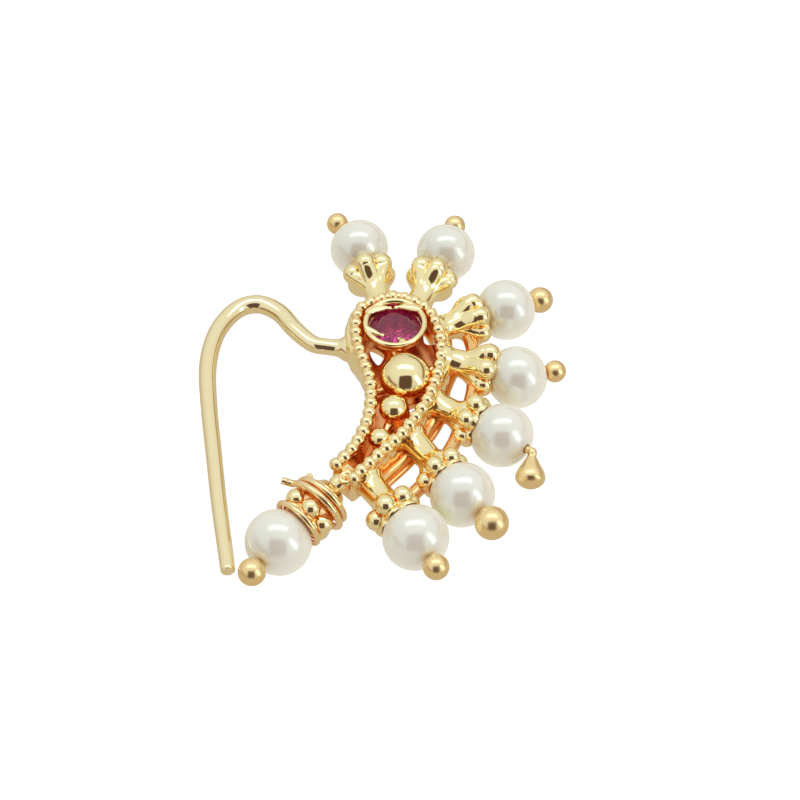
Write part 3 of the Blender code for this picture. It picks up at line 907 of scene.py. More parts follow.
@dataclass
class StoneSetting:
    """The ruby, its bezel with the claws cut from the rim, and the post under it."""

    body: Body
    diameter: float = 3.60 * MM
    rim_above_face: float = 0.45 * MM
    stone_diameter: float = 2.88 * MM
    stone_depth: float = 1.35 * MM
    stone_drop: float = 0.20 * MM
    longer: float = 1.04
    sides: int = 96
    # The bezel's outline from its post, round the rim and down to the stone's bed: radius and height in mm,
    # the height from the rim's top
    outline: Rows = (
        (0.78, -2.10),
        (0.80, -1.60),
        (1.02, -1.12),
        (1.42, -0.78),
        (1.64, -0.62),
        (1.70, -0.50),
        (1.71, -0.38),
        (1.69, -0.29),
        (1.76, -0.24),
        (1.81, -0.15),
        (1.80, -0.06),
        (1.74, 0.01),
        (1.66, 0.03),
        (1.58, 0.01),
        (1.52, -0.05),
        (1.48, -0.13),
        (1.47, -0.22),
        (1.50, -0.30),
        (1.50, -0.58),
        (1.30, -0.70),
        (0.20, -1.62),
    )
    # Claws: places as shares of the bezel's radius and angles from +X in degrees, from root to tip
    claws: tuple[Rows, ...] = (
        ((0.95, 160.0), (0.90, 147.0), (0.80, 132.0), (0.715, 117.0), (0.665, 105.0)),
        ((0.95, 31.0), (0.87, 42.0), (0.77, 58.0), (0.705, 74.0), (0.665, 87.0)),
        ((0.93, 194.0), (0.84, 203.0), (0.76, 212.0), (0.69, 221.0), (0.62, 230.0)),
        ((0.92, 289.0), (0.81, 287.0), (0.72, 285.0), (0.64, 283.0)),
    )
    claw_widths: tuple[float, ...] = (0.25, 0.25, 0.21, 0.24)
    # How far below the rim's top a claw starts, and how much lower it ends, in mm
    claw_start: float = 0.03
    claw_fall: float = 0.17
    tip_size: float = 0.14 * MM

    @property
    def rim_top(self) -> float:
        """Height of the rim."""
        return self.body.face + self.rim_above_face

    def bezel(self) -> Shape:
        """The bezel."""
        rows = [(self.rim_top + z * MM, r * MM) for r, z in self.outline]
        bm = turned(rows, self.sides, standing(Vector()))
        bm.transform(Matrix.Diagonal((1.0, self.longer, 1.0, 1.0)))
        return bm

    def claw(self, row: Rows, width: float) -> Shape:
        """A leaf of metal from the rim to a tip over the stone, widest midway, with a knob at its tip."""
        radius = self.diameter / 2
        rows = []
        for i, (share, angle) in enumerate(row):
            along = i / (len(row) - 1)
            turn = math.radians(angle)
            thick = width * (0.70 + 0.35 * math.sin(math.pi * min(along * 1.2, 1.0))) * (1 - 0.60 * along**3)
            x = radius * share * math.cos(turn)
            y = radius * share * math.sin(turn) * self.longer
            rows.append((x, y, self.rim_top - (self.claw_start + self.claw_fall * along) * MM, thick * MM))
        fine = spline(rows, 6)
        points = [Vector(p[:3]) for p in fine]
        widths = [p[3] for p in fine]
        heights = [0.05 * MM + 0.4 * w for w in widths]
        tip = Matrix.Translation(points[-1]) @ Matrix.Diagonal((1.0, 1.0, 0.7, 1.0))
        return joined([tube(points, widths, heights, 12), ball(self.tip_size, 20, 12, tip)])

    def stone(self) -> Shape:
        """A brilliant with its table, star, kite and girdle facets and a faceted back."""
        radius = self.stone_diameter / 2
        table = self.rim_top - self.stone_drop

        def ring(share: float, drop: float, count: int, turn: float) -> Ring:
            """Points round the stone."""
            angles = [math.tau * (i + turn) / count for i in range(count)]
            z = table - drop * self.stone_depth
            return [Vector((radius * share * math.cos(a), radius * share * math.sin(a), z)) for a in angles]

        bm = bmesh.new()
        levels = [
            ring(0.55, 0.0, 8, 0.0),
            ring(0.80, 0.12, 8, 0.5),
            ring(1.0, 0.245, 16, 0.0),
            ring(1.0, 0.285, 16, 0.0),
            ring(0.44, 0.72, 8, 0.5),
            ring(0.0, 1.0, 1, 0.0),
        ]
        face, crown, edge, low_edge, waist, point = [[bm.verts.new(p) for p in level] for level in levels]
        bm.faces.new(face)
        for i in range(8):
            j, g, h, k = (i + 1) % 8, 2 * i, 2 * i + 1, (2 * i + 2) % 16
            bm.faces.new((face[i], face[j], crown[i]))
            bm.faces.new((face[j], crown[i], edge[k], crown[j]))
            bm.faces.new((crown[i], edge[g], edge[h]))
            bm.faces.new((crown[i], edge[h], edge[k]))
            bm.faces.new((edge[g], edge[h], low_edge[h], low_edge[g]))
            bm.faces.new((edge[h], edge[k], low_edge[k], low_edge[h]))
            bm.faces.new((low_edge[g], low_edge[h], waist[i]))
            bm.faces.new((low_edge[h], low_edge[k], waist[i]))
            bm.faces.new((low_edge[k], waist[i], point[0], waist[j]))
        bmesh.ops.recalc_face_normals(bm, faces=bm.faces)
        bm.transform(Matrix.Diagonal((1.0, self.longer, 1.0, 1.0)))
        return bm

    def lay(self, bench: Bench, gold: Finish, ruby: Finish) -> None:
        """Sets down the bezel, the claws and the stone."""
        bench.lay("bezel", self.bezel(), gold, sharp=50.0)
        leaves = joined([self.claw(row, width) for row, width in zip(self.claws, self.claw_widths)])
        bench.lay("stone_claws", leaves, gold)
        bench.lay("ruby_stone", self.stone(), ruby, Slot.RUBY, ["ruby"], sharp=1.0)


@dataclass
class Domes:
    """Half balls of falling size below the stone, each on a collar."""

    rail: Rail
    diameter: float = 2.85 * MM
    drop: float = 0.30 * MM
    # Across as a share of the body's width, down of its length, and size as a share of the diameter
    rows: tuple[tuple[str, float, float, float], ...] = (
        ("dome_large", 0.121, 0.444, 1.02),
        ("dome_middle", -0.008, 0.610, 0.58),
        ("dome_small", -0.164, 0.764, 0.44),
        ("dome_bead", 0.000, 0.770, 0.30),
    )
    # The collar under a dome: height above its base and radius, as shares of its radius
    collar: Rows = ((-0.40, 0.66), (-0.22, 0.86), (-0.08, 0.97))
    post_share: float = 0.60
    bands: int = 14

    def dome(self, across: float, down: float, size: float) -> Shape:
        """One dome with its collar and post."""
        body = self.rail.body
        radius = size * self.diameter / 2
        base = body.face - self.drop
        profile = [(body.back + body.back_thickness / 2, radius * self.post_share)]
        profile += [(base + radius * up, radius * wide) for up, wide in self.collar]
        for i in range(self.bands):
            angle = math.pi / 2 * i / self.bands
            profile.append((base + radius * math.sin(angle), radius * math.cos(angle)))
        profile.append((base + radius, 0.0))
        place = Vector((across * body.width, self.rail.level(down), 0.0))
        return turned(profile, 56 if size > 0.5 else 32, standing(place))

    def lay(self, bench: Bench, gold: Finish) -> None:
        """Sets down the domes."""
        for name, across, down, size in self.rows:
            bench.lay(name, self.dome(across, down, size), gold)


@dataclass
class Cup:
    """One lobed cup on its stem, with its pearl and headed pin."""

    rail: Rail
    number: int
    station: float
    reach_share: float
    heading: float
    lift: float
    bore: float
    rise: float
    turn: float
    head: float
    back: float
    lobe_back: float
    is_tail: bool = False
    is_drop: bool = False
    has_petals: bool = True
    reach_unit: float = 4.5 * MM
    pearl_diameter: float = 3.5 * MM
    pearl_length: float = 3.36 * MM
    hole: float = 0.56 * MM
    shank: float = 0.40 * MM
    head_unit: float = 1.36 * MM
    gap: float = 0.05 * MM
    stem: float = 1.48 * MM
    corolla: float = 3.25 * MM
    lobes: int = 6
    sides: int = 96
    cup_setback: float = 0.60 * MM
    lobe_share: float = 0.335
    petal_lobe_share: float = 0.37
    # A cup that is set back by less than lip_reach has its lip nearer to the pearl by lip_nearer
    lip_reach: float = 0.20 * MM
    lip_nearer: float = 0.03 * MM
    tail_root: float = 0.60 * MM
    foot_share: float = 1.26
    tail_foot_share: float = 0.74
    drop_length: float = 2.30 * MM
    drop_heading: float = -96.0
    drop_slope: float = -25.0
    # Along the drop from its bend, and its radius, as shares of its length and of the head's radius
    drop_outline: Rows = (
        (0.10, 0.30), (0.20, 0.42), (0.34, 0.63), (0.50, 0.88), (0.64, 1.0),
        (0.76, 0.98), (0.87, 0.80), (0.94, 0.56), (0.985, 0.28), (1.0, 0.04),
    )
    mouth_peak: float = 0.80
    corolla_depth: float = 1.30 * MM
    web_back: float = 0.78
    web_drop: float = 0.30 * MM
    # From the mouth back: step in mm, then the lobe's and the valley's radius as shares of the corolla's
    petals: Rows = (
        (0.00, 0.790, 0.650),
        (0.06, 0.870, 0.690),
        (0.18, 0.935, 0.705),
        (0.40, 0.965, 0.705),
        (0.66, 0.945, 0.680),
        (0.90, 0.900, 0.680),
        (1.12, 0.800, 0.650),
        (1.34, 0.680, 0.590),
        (1.56, 0.570, 0.530),
        (1.85, 0.480, 0.470),
    )
    # The same for a cup whose lobes are separate balls
    plain: Rows = (
        (0.00, 0.790, 0.640),
        (0.10, 0.820, 0.660),
        (0.24, 0.800, 0.640),
        (0.40, 0.740, 0.620),
        (0.66, 0.720, 0.620),
        (0.90, 0.720, 0.610),
        (1.10, 0.680, 0.590),
        (1.28, 0.610, 0.550),
        (1.46, 0.530, 0.505),
        (1.70, 0.460, 0.455),
    )

    def __post_init__(self) -> None:
        """Works out where the pearl is."""
        if self.is_tail:
            root = (self.rail.offset(0.0, 0.0) + self.rail.offset(1.0, 0.0)) / 2
        else:
            root = self.rail.offset(self.station, 0.0)
        self.reach = self.reach_share * self.reach_unit
        angle = math.radians(self.heading)
        self.pearl = root + Vector((math.cos(angle), math.sin(angle), 0.0)) * self.reach
        self.head_radius = self.head * self.head_unit / 2
        self.setback = self.back * self.cup_setback

    @property
    def cup_place(self) -> Matrix:
        """Where the cup goes: local X runs from the stem to the pearl."""
        return pointing(self.pearl, self.heading, self.lift)

    @property
    def bore_place(self) -> Matrix:
        """Where the pearl and the pin go: local X runs from the cup to the pin's head."""
        return pointing(self.pearl, self.bore, self.rise)

    def seat(self, radius: float) -> float:
        """How far behind the pearl's centre its seat lies at this distance from the axis."""
        bowl = self.pearl_diameter / 2 + self.gap
        return math.sqrt(max(bowl**2 - radius**2, 0.0))

    def cup(self) -> Shape:
        """The stem, the ring of lobes and the seat."""
        radius = self.corolla / 2
        turn = math.radians(self.turn)
        front = self.seat(radius * self.mouth_peak) + self.setback
        fine = spline(self.petals if self.has_petals else self.plain, 3)
        lip = -self.lip_nearer if self.setback < self.lip_reach else self.setback
        rings: list[Ring] = []
        root = -self.reach - (self.tail_root if self.is_tail else 0.0)
        stem = self.stem / 2
        flare = -front - fine[-1].x * MM
        wall = -self.reach + 0.30 * MM
        foot = self.tail_foot_share if self.is_tail else self.foot_share
        rows = ((root, foot), (wall, foot), (wall + 0.14 * MM, 0.86 * foot), (wall + 0.34 * MM, 0.82 * foot))
        for along, share in rows:
            if along < flare - 0.1 * MM:
                rings.append(turned_ring(along, stem * share, self.sides, turn))
        for step, peak, valley in reversed([tuple(p) for p in fine]):
            ring = []
            for i in range(self.sides):
                angle = turn + math.tau * i / self.sides
                wave = abs(math.cos(self.lobes * (angle - turn) / 2)) ** 0.85
                r = radius * (valley + (peak - valley) * wave)
                mouth = self.seat(r) + lip if step <= 0.0 else front + step * MM
                ring.append(Vector((-mouth, r * math.sin(angle), r * math.cos(angle))))
            rings.append(ring)
        for share in (0.50, 0.34, 0.18):
            inner = radius * share
            rings.append(turned_ring(-self.seat(inner), inner, self.sides, turn))
        bm = joined([skin(rings), *self._lobe_balls(front, radius, turn)])
        bm.transform(self.cup_place)
        return bm

    def _lobe_balls(self, front: float, radius: float, turn: float) -> list[Shape]:
        """The ring of lobes as balls.

        Args:
            front: how far behind the pearl's centre the mouth lies.
            radius: the corolla's radius.
            turn: the first lobe's angle.

        Returns:
            One ball for each lobe, about the pearl's centre.
        """
        lobe = radius * (self.petal_lobe_share if self.has_petals else self.lobe_share)
        found = []
        for i in range(self.lobes):
            angle = turn + math.tau * i / self.lobes
            size = lobe * (1.0 + 0.05 * math.sin(5.0 * i + 2.0 * self.number))
            along = -front - self.lobe_back * MM
            at = Vector((along, (radius - lobe) * math.sin(angle), (radius - lobe) * math.cos(angle)))
            found.append(ball(size, 28, 18, Matrix.Translation(at)))
        return found

    @property
    def web_end(self) -> Vector:
        """The point inside the flare to which a web runs."""
        rim = self.seat(self.corolla / 2 * self.mouth_peak) + self.setback
        flare = Vector((-rim - self.web_back * self.corolla_depth, 0.0, 0.0))
        return self.cup_place @ flare - Vector((0.0, 0.0, self.web_drop))

    @property
    def ball_along(self) -> float:
        """How far along the bore the pin's ball has its centre."""
        return self._pearl_end() + self.gap + math.sqrt(max(self.head_radius**2 - (self.hole / 2) ** 2, 0.0))

    def bead(self) -> Shape:
        """The drilled pearl."""
        hole = self.hole / 2
        edge = math.acos(self.hole / self.pearl_diameter)
        bands = 34
        rows = []
        for i in range(bands + 1):
            angle = edge * (2 * i / bands - 1)
            rows.append((self.pearl_length / 2 * math.sin(angle), self.pearl_diameter / 2 * math.cos(angle)))
        rows[0] = (rows[0][0], hole)
        rows[-1] = (rows[-1][0], hole)
        return turned(rows, 64, self.bore_place, closed=True)

    def _pearl_end(self) -> float:
        """Half the bead's length at its hole's edge."""
        return self.pearl_length / 2 * math.sin(math.acos(self.hole / self.pearl_diameter))

    def pin(self) -> Shape:
        """A shank through the pearl with a ball outside, or with a drop that hangs aside."""
        return self._drop_pin() if self.is_drop else self._ball_pin()

    def _ball_pin(self) -> Shape:
        """The pin with a ball."""
        shank = self.shank / 2
        head = self.head_radius
        centre = self.ball_along
        start = math.asin(min(shank / head, 0.9))
        bands = 24
        rows = [(0.0, 0.0), (0.0, shank)]
        for i in range(bands + 1):
            angle = start + (math.pi - start) * i / bands
            rows.append((centre - head * math.cos(angle), head * math.sin(angle)))
        return turned(rows, 40, self.bore_place)

    def _drop_pin(self) -> Shape:
        """The pin whose end turns down into a long drop."""
        shank = self.shank / 2
        room = shank * 1.3
        outward = direction(self.bore, self.rise)
        aside = direction(self.drop_heading, self.drop_slope)
        end = self.pearl + outward * self._pearl_end()
        bend = self.pearl + outward * (self.pearl_diameter / 2 + self.gap + room)
        run = self.drop_length - room
        rows = [(*self.pearl, shank), (*end, shank), (*bend, shank * 1.25)]
        for share, thick in self.drop_outline:
            rows.append((*(bend + aside * run * share), self.head_radius * thick))
        fine = spline(rows, 4)
        radii = [max(p[3], 0.001 * MM) for p in fine]
        return tube([Vector(p[:3]) for p in fine], radii, radii, 36)

    def lay(self, bench: Bench, gold: Finish, pin_gold: Finish, nacre: Finish) -> None:
        """Sets down the cup, the pearl and the pin."""
        number = self.number
        bench.lay(f"cup_{number}", self.cup(), gold, sharp=60.0)
        bench.lay(f"pearl_bead_{number}", self.bead(), nacre, Slot.PEARL, [f"pearl_{number}"])
        bench.lay(f"headed_pin_{number}", self.pin(), pin_gold, Slot.GOLD, [f"pin_{number}"])


@dataclass(frozen=True)
class CupTable:
    """One row for each cup, as the solids have them.

    Each row holds station, reach, heading, lift, bore, rise, turn, head, how far back the cup sits, and how
    far behind the cup's mouth its lobes' middles lie, in mm.
    """

    rows: Rows = (
        (0.450, 1.20, 106.5, 0.0, 126.0, 7.0, 13.0, 0.96, 1.0, 0.44),
        (0.508, 1.20, 68.5, 0.0, 75.0, 3.0, -17.0, 0.94, 1.0, 0.44),
        (0.576, 1.017, 25.0, -4.0, 29.0, -9.0, -38.0, 1.12, 0.65, 0.44),
        (0.654, 0.96, -12.0, -7.0, 15.0, -4.0, -39.0, 0.92, 0.15, 0.44),
        (0.747, 0.99, -31.0, 0.0, -41.0, 7.0, -36.0, 1.18, 0.20, 0.56),
        (0.836, 1.059, -54.5, 0.0, -55.0, 8.0, -27.0, 1.32, 0.0, 0.56),
        (0.957, 1.022, -55.0, 0.0, -64.0, 9.0, -27.0, 1.00, 0.0, 0.78),
        (1.000, 1.050, -132.3, -6.0, -121.0, 7.0, 21.0, 1.06, 0.65, 0.56),
    )
    drop: int = 5
    tail: int = 8
    petalled: int = 4

    def cups(self, rail: Rail) -> list[Cup]:
        """The cups in order."""
        made = []
        for number, row in enumerate(self.rows, 1):
            kinds = {"is_tail": number == self.tail, "is_drop": number == self.drop}
            made.append(Cup(rail, number, *row, **kinds, has_petals=number <= self.petalled))
        return made


@dataclass
class HookWire:
    """The plain hook, thickened to a cone where it is soldered to the wall."""

    rail: Rail
    tail_cup: Cup
    width: float = 8.36 * MM
    length: float = 19.1 * MM
    diameter: float = 1.00 * MM
    station: float = 0.329
    tip_gap: float = 0.15 * MM
    # Out from the root as a share of the width, up as a share of the length, and thickness
    arch: Rows = (
        (0.000, 0.000, 1.70),
        (0.070, 0.001, 1.55),
        (0.125, 0.003, 1.05),
        (0.200, 0.008, 0.95),
        (0.300, 0.020, 0.98),
        (0.425, 0.076, 1.05),
        (0.547, 0.148, 1.08),
        (0.697, 0.182, 1.08),
        (0.843, 0.156, 1.05),
        (0.960, 0.066, 1.02),
        (1.000, -0.063, 1.00),
    )
    # Lean as a share of the way from the arch's side to the tip, up as a share of the length, and thickness
    leg: Rows = (
        (0.131, -0.217, 0.93),
        (0.387, -0.400, 0.88),
        (0.637, -0.574, 0.84),
        (0.885, -0.725, 0.79),
        (1.000, -0.795, 0.75),
    )

    def lay(self, threader: Threader, gold: Finish) -> None:
        """Sweeps the wire, whose tip keeps beside the head of the tail's pin and is slightly rounded."""
        root = self.rail.offset(self.station, 0.0)
        side = root.x - self.arch[-1][0] * self.width
        head = self.tail_cup.bore_place @ Vector((self.tail_cup.ball_along, 0.0, 0.0))
        tip = head.x - self.tail_cup.head_radius - self.tip_gap - self.leg[-1][2] * self.diameter / 2
        places = [(root.x - out * self.width, up, thick) for out, up, thick in self.arch]
        places += [(side + lean * (tip - side), up, thick) for lean, up, thick in self.leg]
        fine = spline([(x, root.y + up * self.length, 0.0, thick) for x, up, thick in places], 9)
        points = [Vector(p[:3]) for p in fine]
        thick = [p[3] for p in fine]
        end, along = points[-1], (points[-1] - points[-2]).normalized()
        points[-1] = end - along * 0.05 * MM
        points.append(end)
        thick.append(thick[-1] * 0.90)
        threader.wire("hook_wire", points, self.diameter, 32, gold, thick)


@dataclass
class TailTrim:
    """The wire wound behind the tail's cup, its collar, the ring under the pearl and the scroll."""

    cup: Cup
    coil_diameter: float = 3.60 * MM
    coil_taper: float = 0.50 * MM
    coil_wire: float = 0.38 * MM
    coil_pitch: float = 0.45 * MM
    coil_turns: int = 2
    coil_setback: float = 2.75 * MM
    coil_start: float = -55.0
    coil_tail: float = 0.70 * MM
    ring_diameter: float = 3.06 * MM
    ring_wire: float = 0.32 * MM
    scroll_radius: float = 0.40 * MM
    scroll_height: float = 0.98 * MM
    scroll_shift: tuple[float, float] = (0.30 * MM, -0.12 * MM)
    scroll_wire: float = 0.28 * MM
    scroll_from: float = 20.0
    scroll_to: float = 330.0
    scroll_fall: float = 0.35
    steps: int = 40

    def winding(self) -> list[Vector]:
        """The wound wire's path."""
        steps = self.steps
        total = self.coil_turns * steps
        points = []
        for i in range(total + 1):
            angle = math.radians(self.coil_start) + math.tau * i / steps
            radius = (self.coil_diameter - self.coil_wire - self.coil_taper * i / total) / 2
            along = -self.coil_setback - self.coil_pitch * i / steps
            points.append(Vector((along, radius * math.sin(angle), radius * math.cos(angle))))
        away = Vector((0.0, points[0].y, points[0].z)).normalized()
        lead = (points[0] - points[1]).normalized()
        off = (away * 0.80 + lead * 0.15 + Vector((0.50, 0.0, 0.0))).normalized()
        end = points[0] + off * self.coil_tail
        bend = points[0] + off * 0.12 * self.coil_tail + lead * 0.06 * self.coil_tail
        return [self.cup.cup_place @ p for p in (end, points[0].lerp(end, 0.55), bend, *points[1:])]

    def collar(self) -> Shape:
        """The thick part of the stem that the wire is wound on."""
        radius = (self.coil_diameter - self.coil_taper) / 2 - self.coil_wire
        far = -self.coil_setback - self.coil_turns * self.coil_pitch
        near = -self.coil_setback + self.coil_pitch
        rows = [
            (far - self.coil_pitch, self.cup.stem / 2 * 1.02),
            (far - 0.4 * self.coil_pitch, radius * 0.80),
            (far, radius * 0.98),
            (near - 0.4 * self.coil_pitch, radius),
            (near, radius * 0.96),
        ]
        return turned(rows, 56, self.cup.cup_place)

    def scroll(self) -> list[Vector]:
        """The open ring that covers the rope's two ends, on the tail's neck."""
        rail = self.cup.rail
        middle = (rail.offset(0.0, 0.0) + rail.offset(1.0, 0.0)) / 2
        middle += Vector((*self.scroll_shift, self.scroll_height))
        steps = 26
        found = []
        for i in range(steps + 1):
            angle = math.radians(self.scroll_from + (self.scroll_to - self.scroll_from) * i / steps)
            reach = self.scroll_radius * (1.0 - self.scroll_fall * i / steps)
            found.append(middle + Vector((reach * math.cos(angle), reach * math.sin(angle), 0.0)))
        return found

    def ring(self) -> Shape:
        """The ring between the lobes and the pearl."""
        radius = (self.ring_diameter - self.ring_wire) / 2
        wire = self.ring_wire / 2
        middle = -self.cup.seat(radius - wire) - wire
        angles = [i * math.tau / 14 for i in range(14)]
        rows = [(middle + wire * math.cos(a), radius + wire * math.sin(a)) for a in angles]
        return turned(rows, 72, self.cup.cup_place, closed=True)

    def lay(self, bench: Bench, threader: Threader, gold: Finish, shaded_rose: Finish) -> None:
        """Sets down the winding, the ring, the collar and the scroll."""
        # The winding, the ring and the collar take a darker, redder copy of the gold, as painted shade
        threader.wire("tail_winding", self.winding(), self.coil_wire, 16, shaded_rose, nodes=("tail_coil",))
        bench.lay("tail_ring", self.ring(), shaded_rose)
        bench.lay("tail_collar", self.collar(), shaded_rose)
        threader.wire("tail_scroll", self.scroll(), self.scroll_wire, 16, gold)


@dataclass
class GalleryWire:
    """The thin wire along the back that ties the stems of the fifth, sixth and seventh cups."""

    rail: Rail
    first: float
    last: float
    diameter: float = 0.30 * MM
    out: float = 0.85 * MM

    def lay(self, threader: Threader, gold: Finish) -> None:
        """Sweeps the wire."""
        height = self.rail.body.back + self.diameter * 0.8
        steps = 30
        points = [
            self.rail.offset(self.first + (self.last - self.first) * i / steps, self.out, height)
            for i in range(steps + 1)
        ]
        threader.wire("gallery_wire", points, self.diameter, 12, gold)


@dataclass
class CupWebs:
    """Short bars low down between neighbouring flares, and the ledge of solder along the wall's foot."""

    cups: Sequence[Cup]
    pairs: tuple[tuple[int, int], ...] = ((3, 4), (4, 5), (5, 6), (6, 7))
    diameter: float = 0.86 * MM
    sag: float = 0.10 * MM
    bar_steps: int = 10
    # The ledge runs from the third cup to the seventh and thickens at each stem
    ledge_out: float = 0.42 * MM
    ledge_height: float = -0.50 * MM
    ledge_diameter: float = 0.84 * MM
    ledge_spread: float = 1.5 * MM
    ledge_steps: int = 90

    def bar(self, start: Vector, end: Vector) -> tuple[list[Vector], list[float]]:
        """The path and the thicknesses of a bar between two flares."""
        across = (end - start).normalized().cross(UP)
        points, thick = [], []
        for i in range(self.bar_steps + 1):
            bow = math.sin(math.pi * i / self.bar_steps)
            points.append(start.lerp(end, i / self.bar_steps) - across * self.sag * bow)
            thick.append(1.15 - 0.25 * bow)
        return points, thick

    def ledge(self) -> tuple[list[Vector], list[float]]:
        """The path and the thicknesses of the ledge."""
        rail, first, last = self.cups[0].rail, self.cups[2].station, self.cups[6].station
        points, thick = [], []
        for i in range(self.ledge_steps + 1):
            share = first + (last - first) * i / self.ledge_steps
            near = min(abs(share - cup.station) for cup in self.cups[:7]) * rail.length
            points.append(rail.offset(share, self.ledge_out, self.ledge_height))
            thick.append(0.80 + 0.75 * max(0.0, 1.0 - near / self.ledge_spread) ** 2)
        return points, thick

    def lay(self, threader: Threader, gold: Finish) -> None:
        """Sweeps the bars and the ledge."""
        for one, two in self.pairs:
            points, thick = self.bar(self.cups[one - 1].web_end, self.cups[two - 1].web_end)
            threader.wire(f"cup_web_{one}_{two}", points, self.diameter, 16, gold, thick)
        points, thick = self.ledge()
        threader.wire("wall_ledge", points, self.ledge_diameter, 16, gold, thick)


@dataclass
class SolderBridges:
    """Thick runs of solder that hold the stone's setting and the domes inside the wall."""

    # Each: start and end across and up from the ruby's centre, height, and half the thickness, all in mm
    rows: Rows = (
        (0.12, -1.55, 0.42, -2.55, 0.42, 0.33),
        (-0.55, -3.80, -1.35, -4.05, -0.05, 0.24),
        (1.45, -2.75, 2.10, -2.30, -0.10, 0.26),
        (0.30, -4.85, 0.00, -5.40, 0.30, 0.24),
        (-0.35, -6.60, -0.70, -7.40, 0.22, 0.22),
    )
    steps: int = 8

    def lay(self, bench: Bench, gold: Finish) -> None:
        """Sets down the bridges as one piece."""
        steps = self.steps
        parts = []
        for x0, y0, x1, y1, height, half in self.rows:
            start, end = Vector((x0, y0, height)) * MM, Vector((x1, y1, height)) * MM
            points = [start.lerp(end, i / steps) for i in range(steps + 1)]
            halves = [half * MM * (1.25 - 0.35 * math.sin(math.pi * i / steps)) for i in range(steps + 1)]
            parts.append(tube(points, halves, halves, 18))
        bench.lay("solder_bridges", joined(parts), gold)


# Hollows


@dataclass
class HollowFinder:
    """Gives every point of the gold and the pearls a measure of how closed in and turned down it is, the mask
    for the painted shade and painted reflection of gold.
    """

    reach: float = 2.4 * MM
    rays: int = 18
    start: float = 0.02 * MM
    # What a surface gets on top where it faces straight down, as painted shade on undersides
    downward: float = 0.35

    def _directions(self) -> list[Vector]:
        """Directions spread evenly over a half ball round +Z, denser at its pole."""
        golden = math.pi * (3 - math.sqrt(5))
        found = []
        for i in range(self.rays):
            up = math.sqrt(1 - (i + 0.5) / self.rays)
            flat = math.sqrt(1 - up**2)
            found.append(Vector((flat * math.cos(golden * i), flat * math.sin(golden * i), up)))
        return found

    def mark(self, pieces: Sequence[bpy.types.Object]) -> None:
        """Writes the attribute on each piece."""
        points: list[Vector] = []
        faces: list[list[int]] = []
        for piece in pieces:
            base = len(points)
            points += [v.co.copy() for v in piece.data.vertices]
            faces += [[base + i for i in polygon.vertices] for polygon in piece.data.polygons]
        tree = BVHTree.FromPolygons(points, faces)
        directions = self._directions()
        for piece in pieces:
            values = []
            for vertex in piece.data.vertices:
                turn = vertex.normal.to_track_quat("Z", "Y")
                origin = vertex.co + vertex.normal * self.start
                closed = 0.0
                for direction in directions:
                    distance = tree.ray_cast(origin, turn @ direction, self.reach)[3]
                    if distance is not None:
                        closed += 1.0 - 0.5 * distance / self.reach
                # More closed in and more turned down means more painted shade and painted reflection
                values.append(closed / self.rays + self.downward * max(0.0, -vertex.normal.z))
            attribute = piece.data.attributes.new(HOLLOW, "FLOAT", "POINT")
            attribute.data.foreach_set("value", values)


# Studio


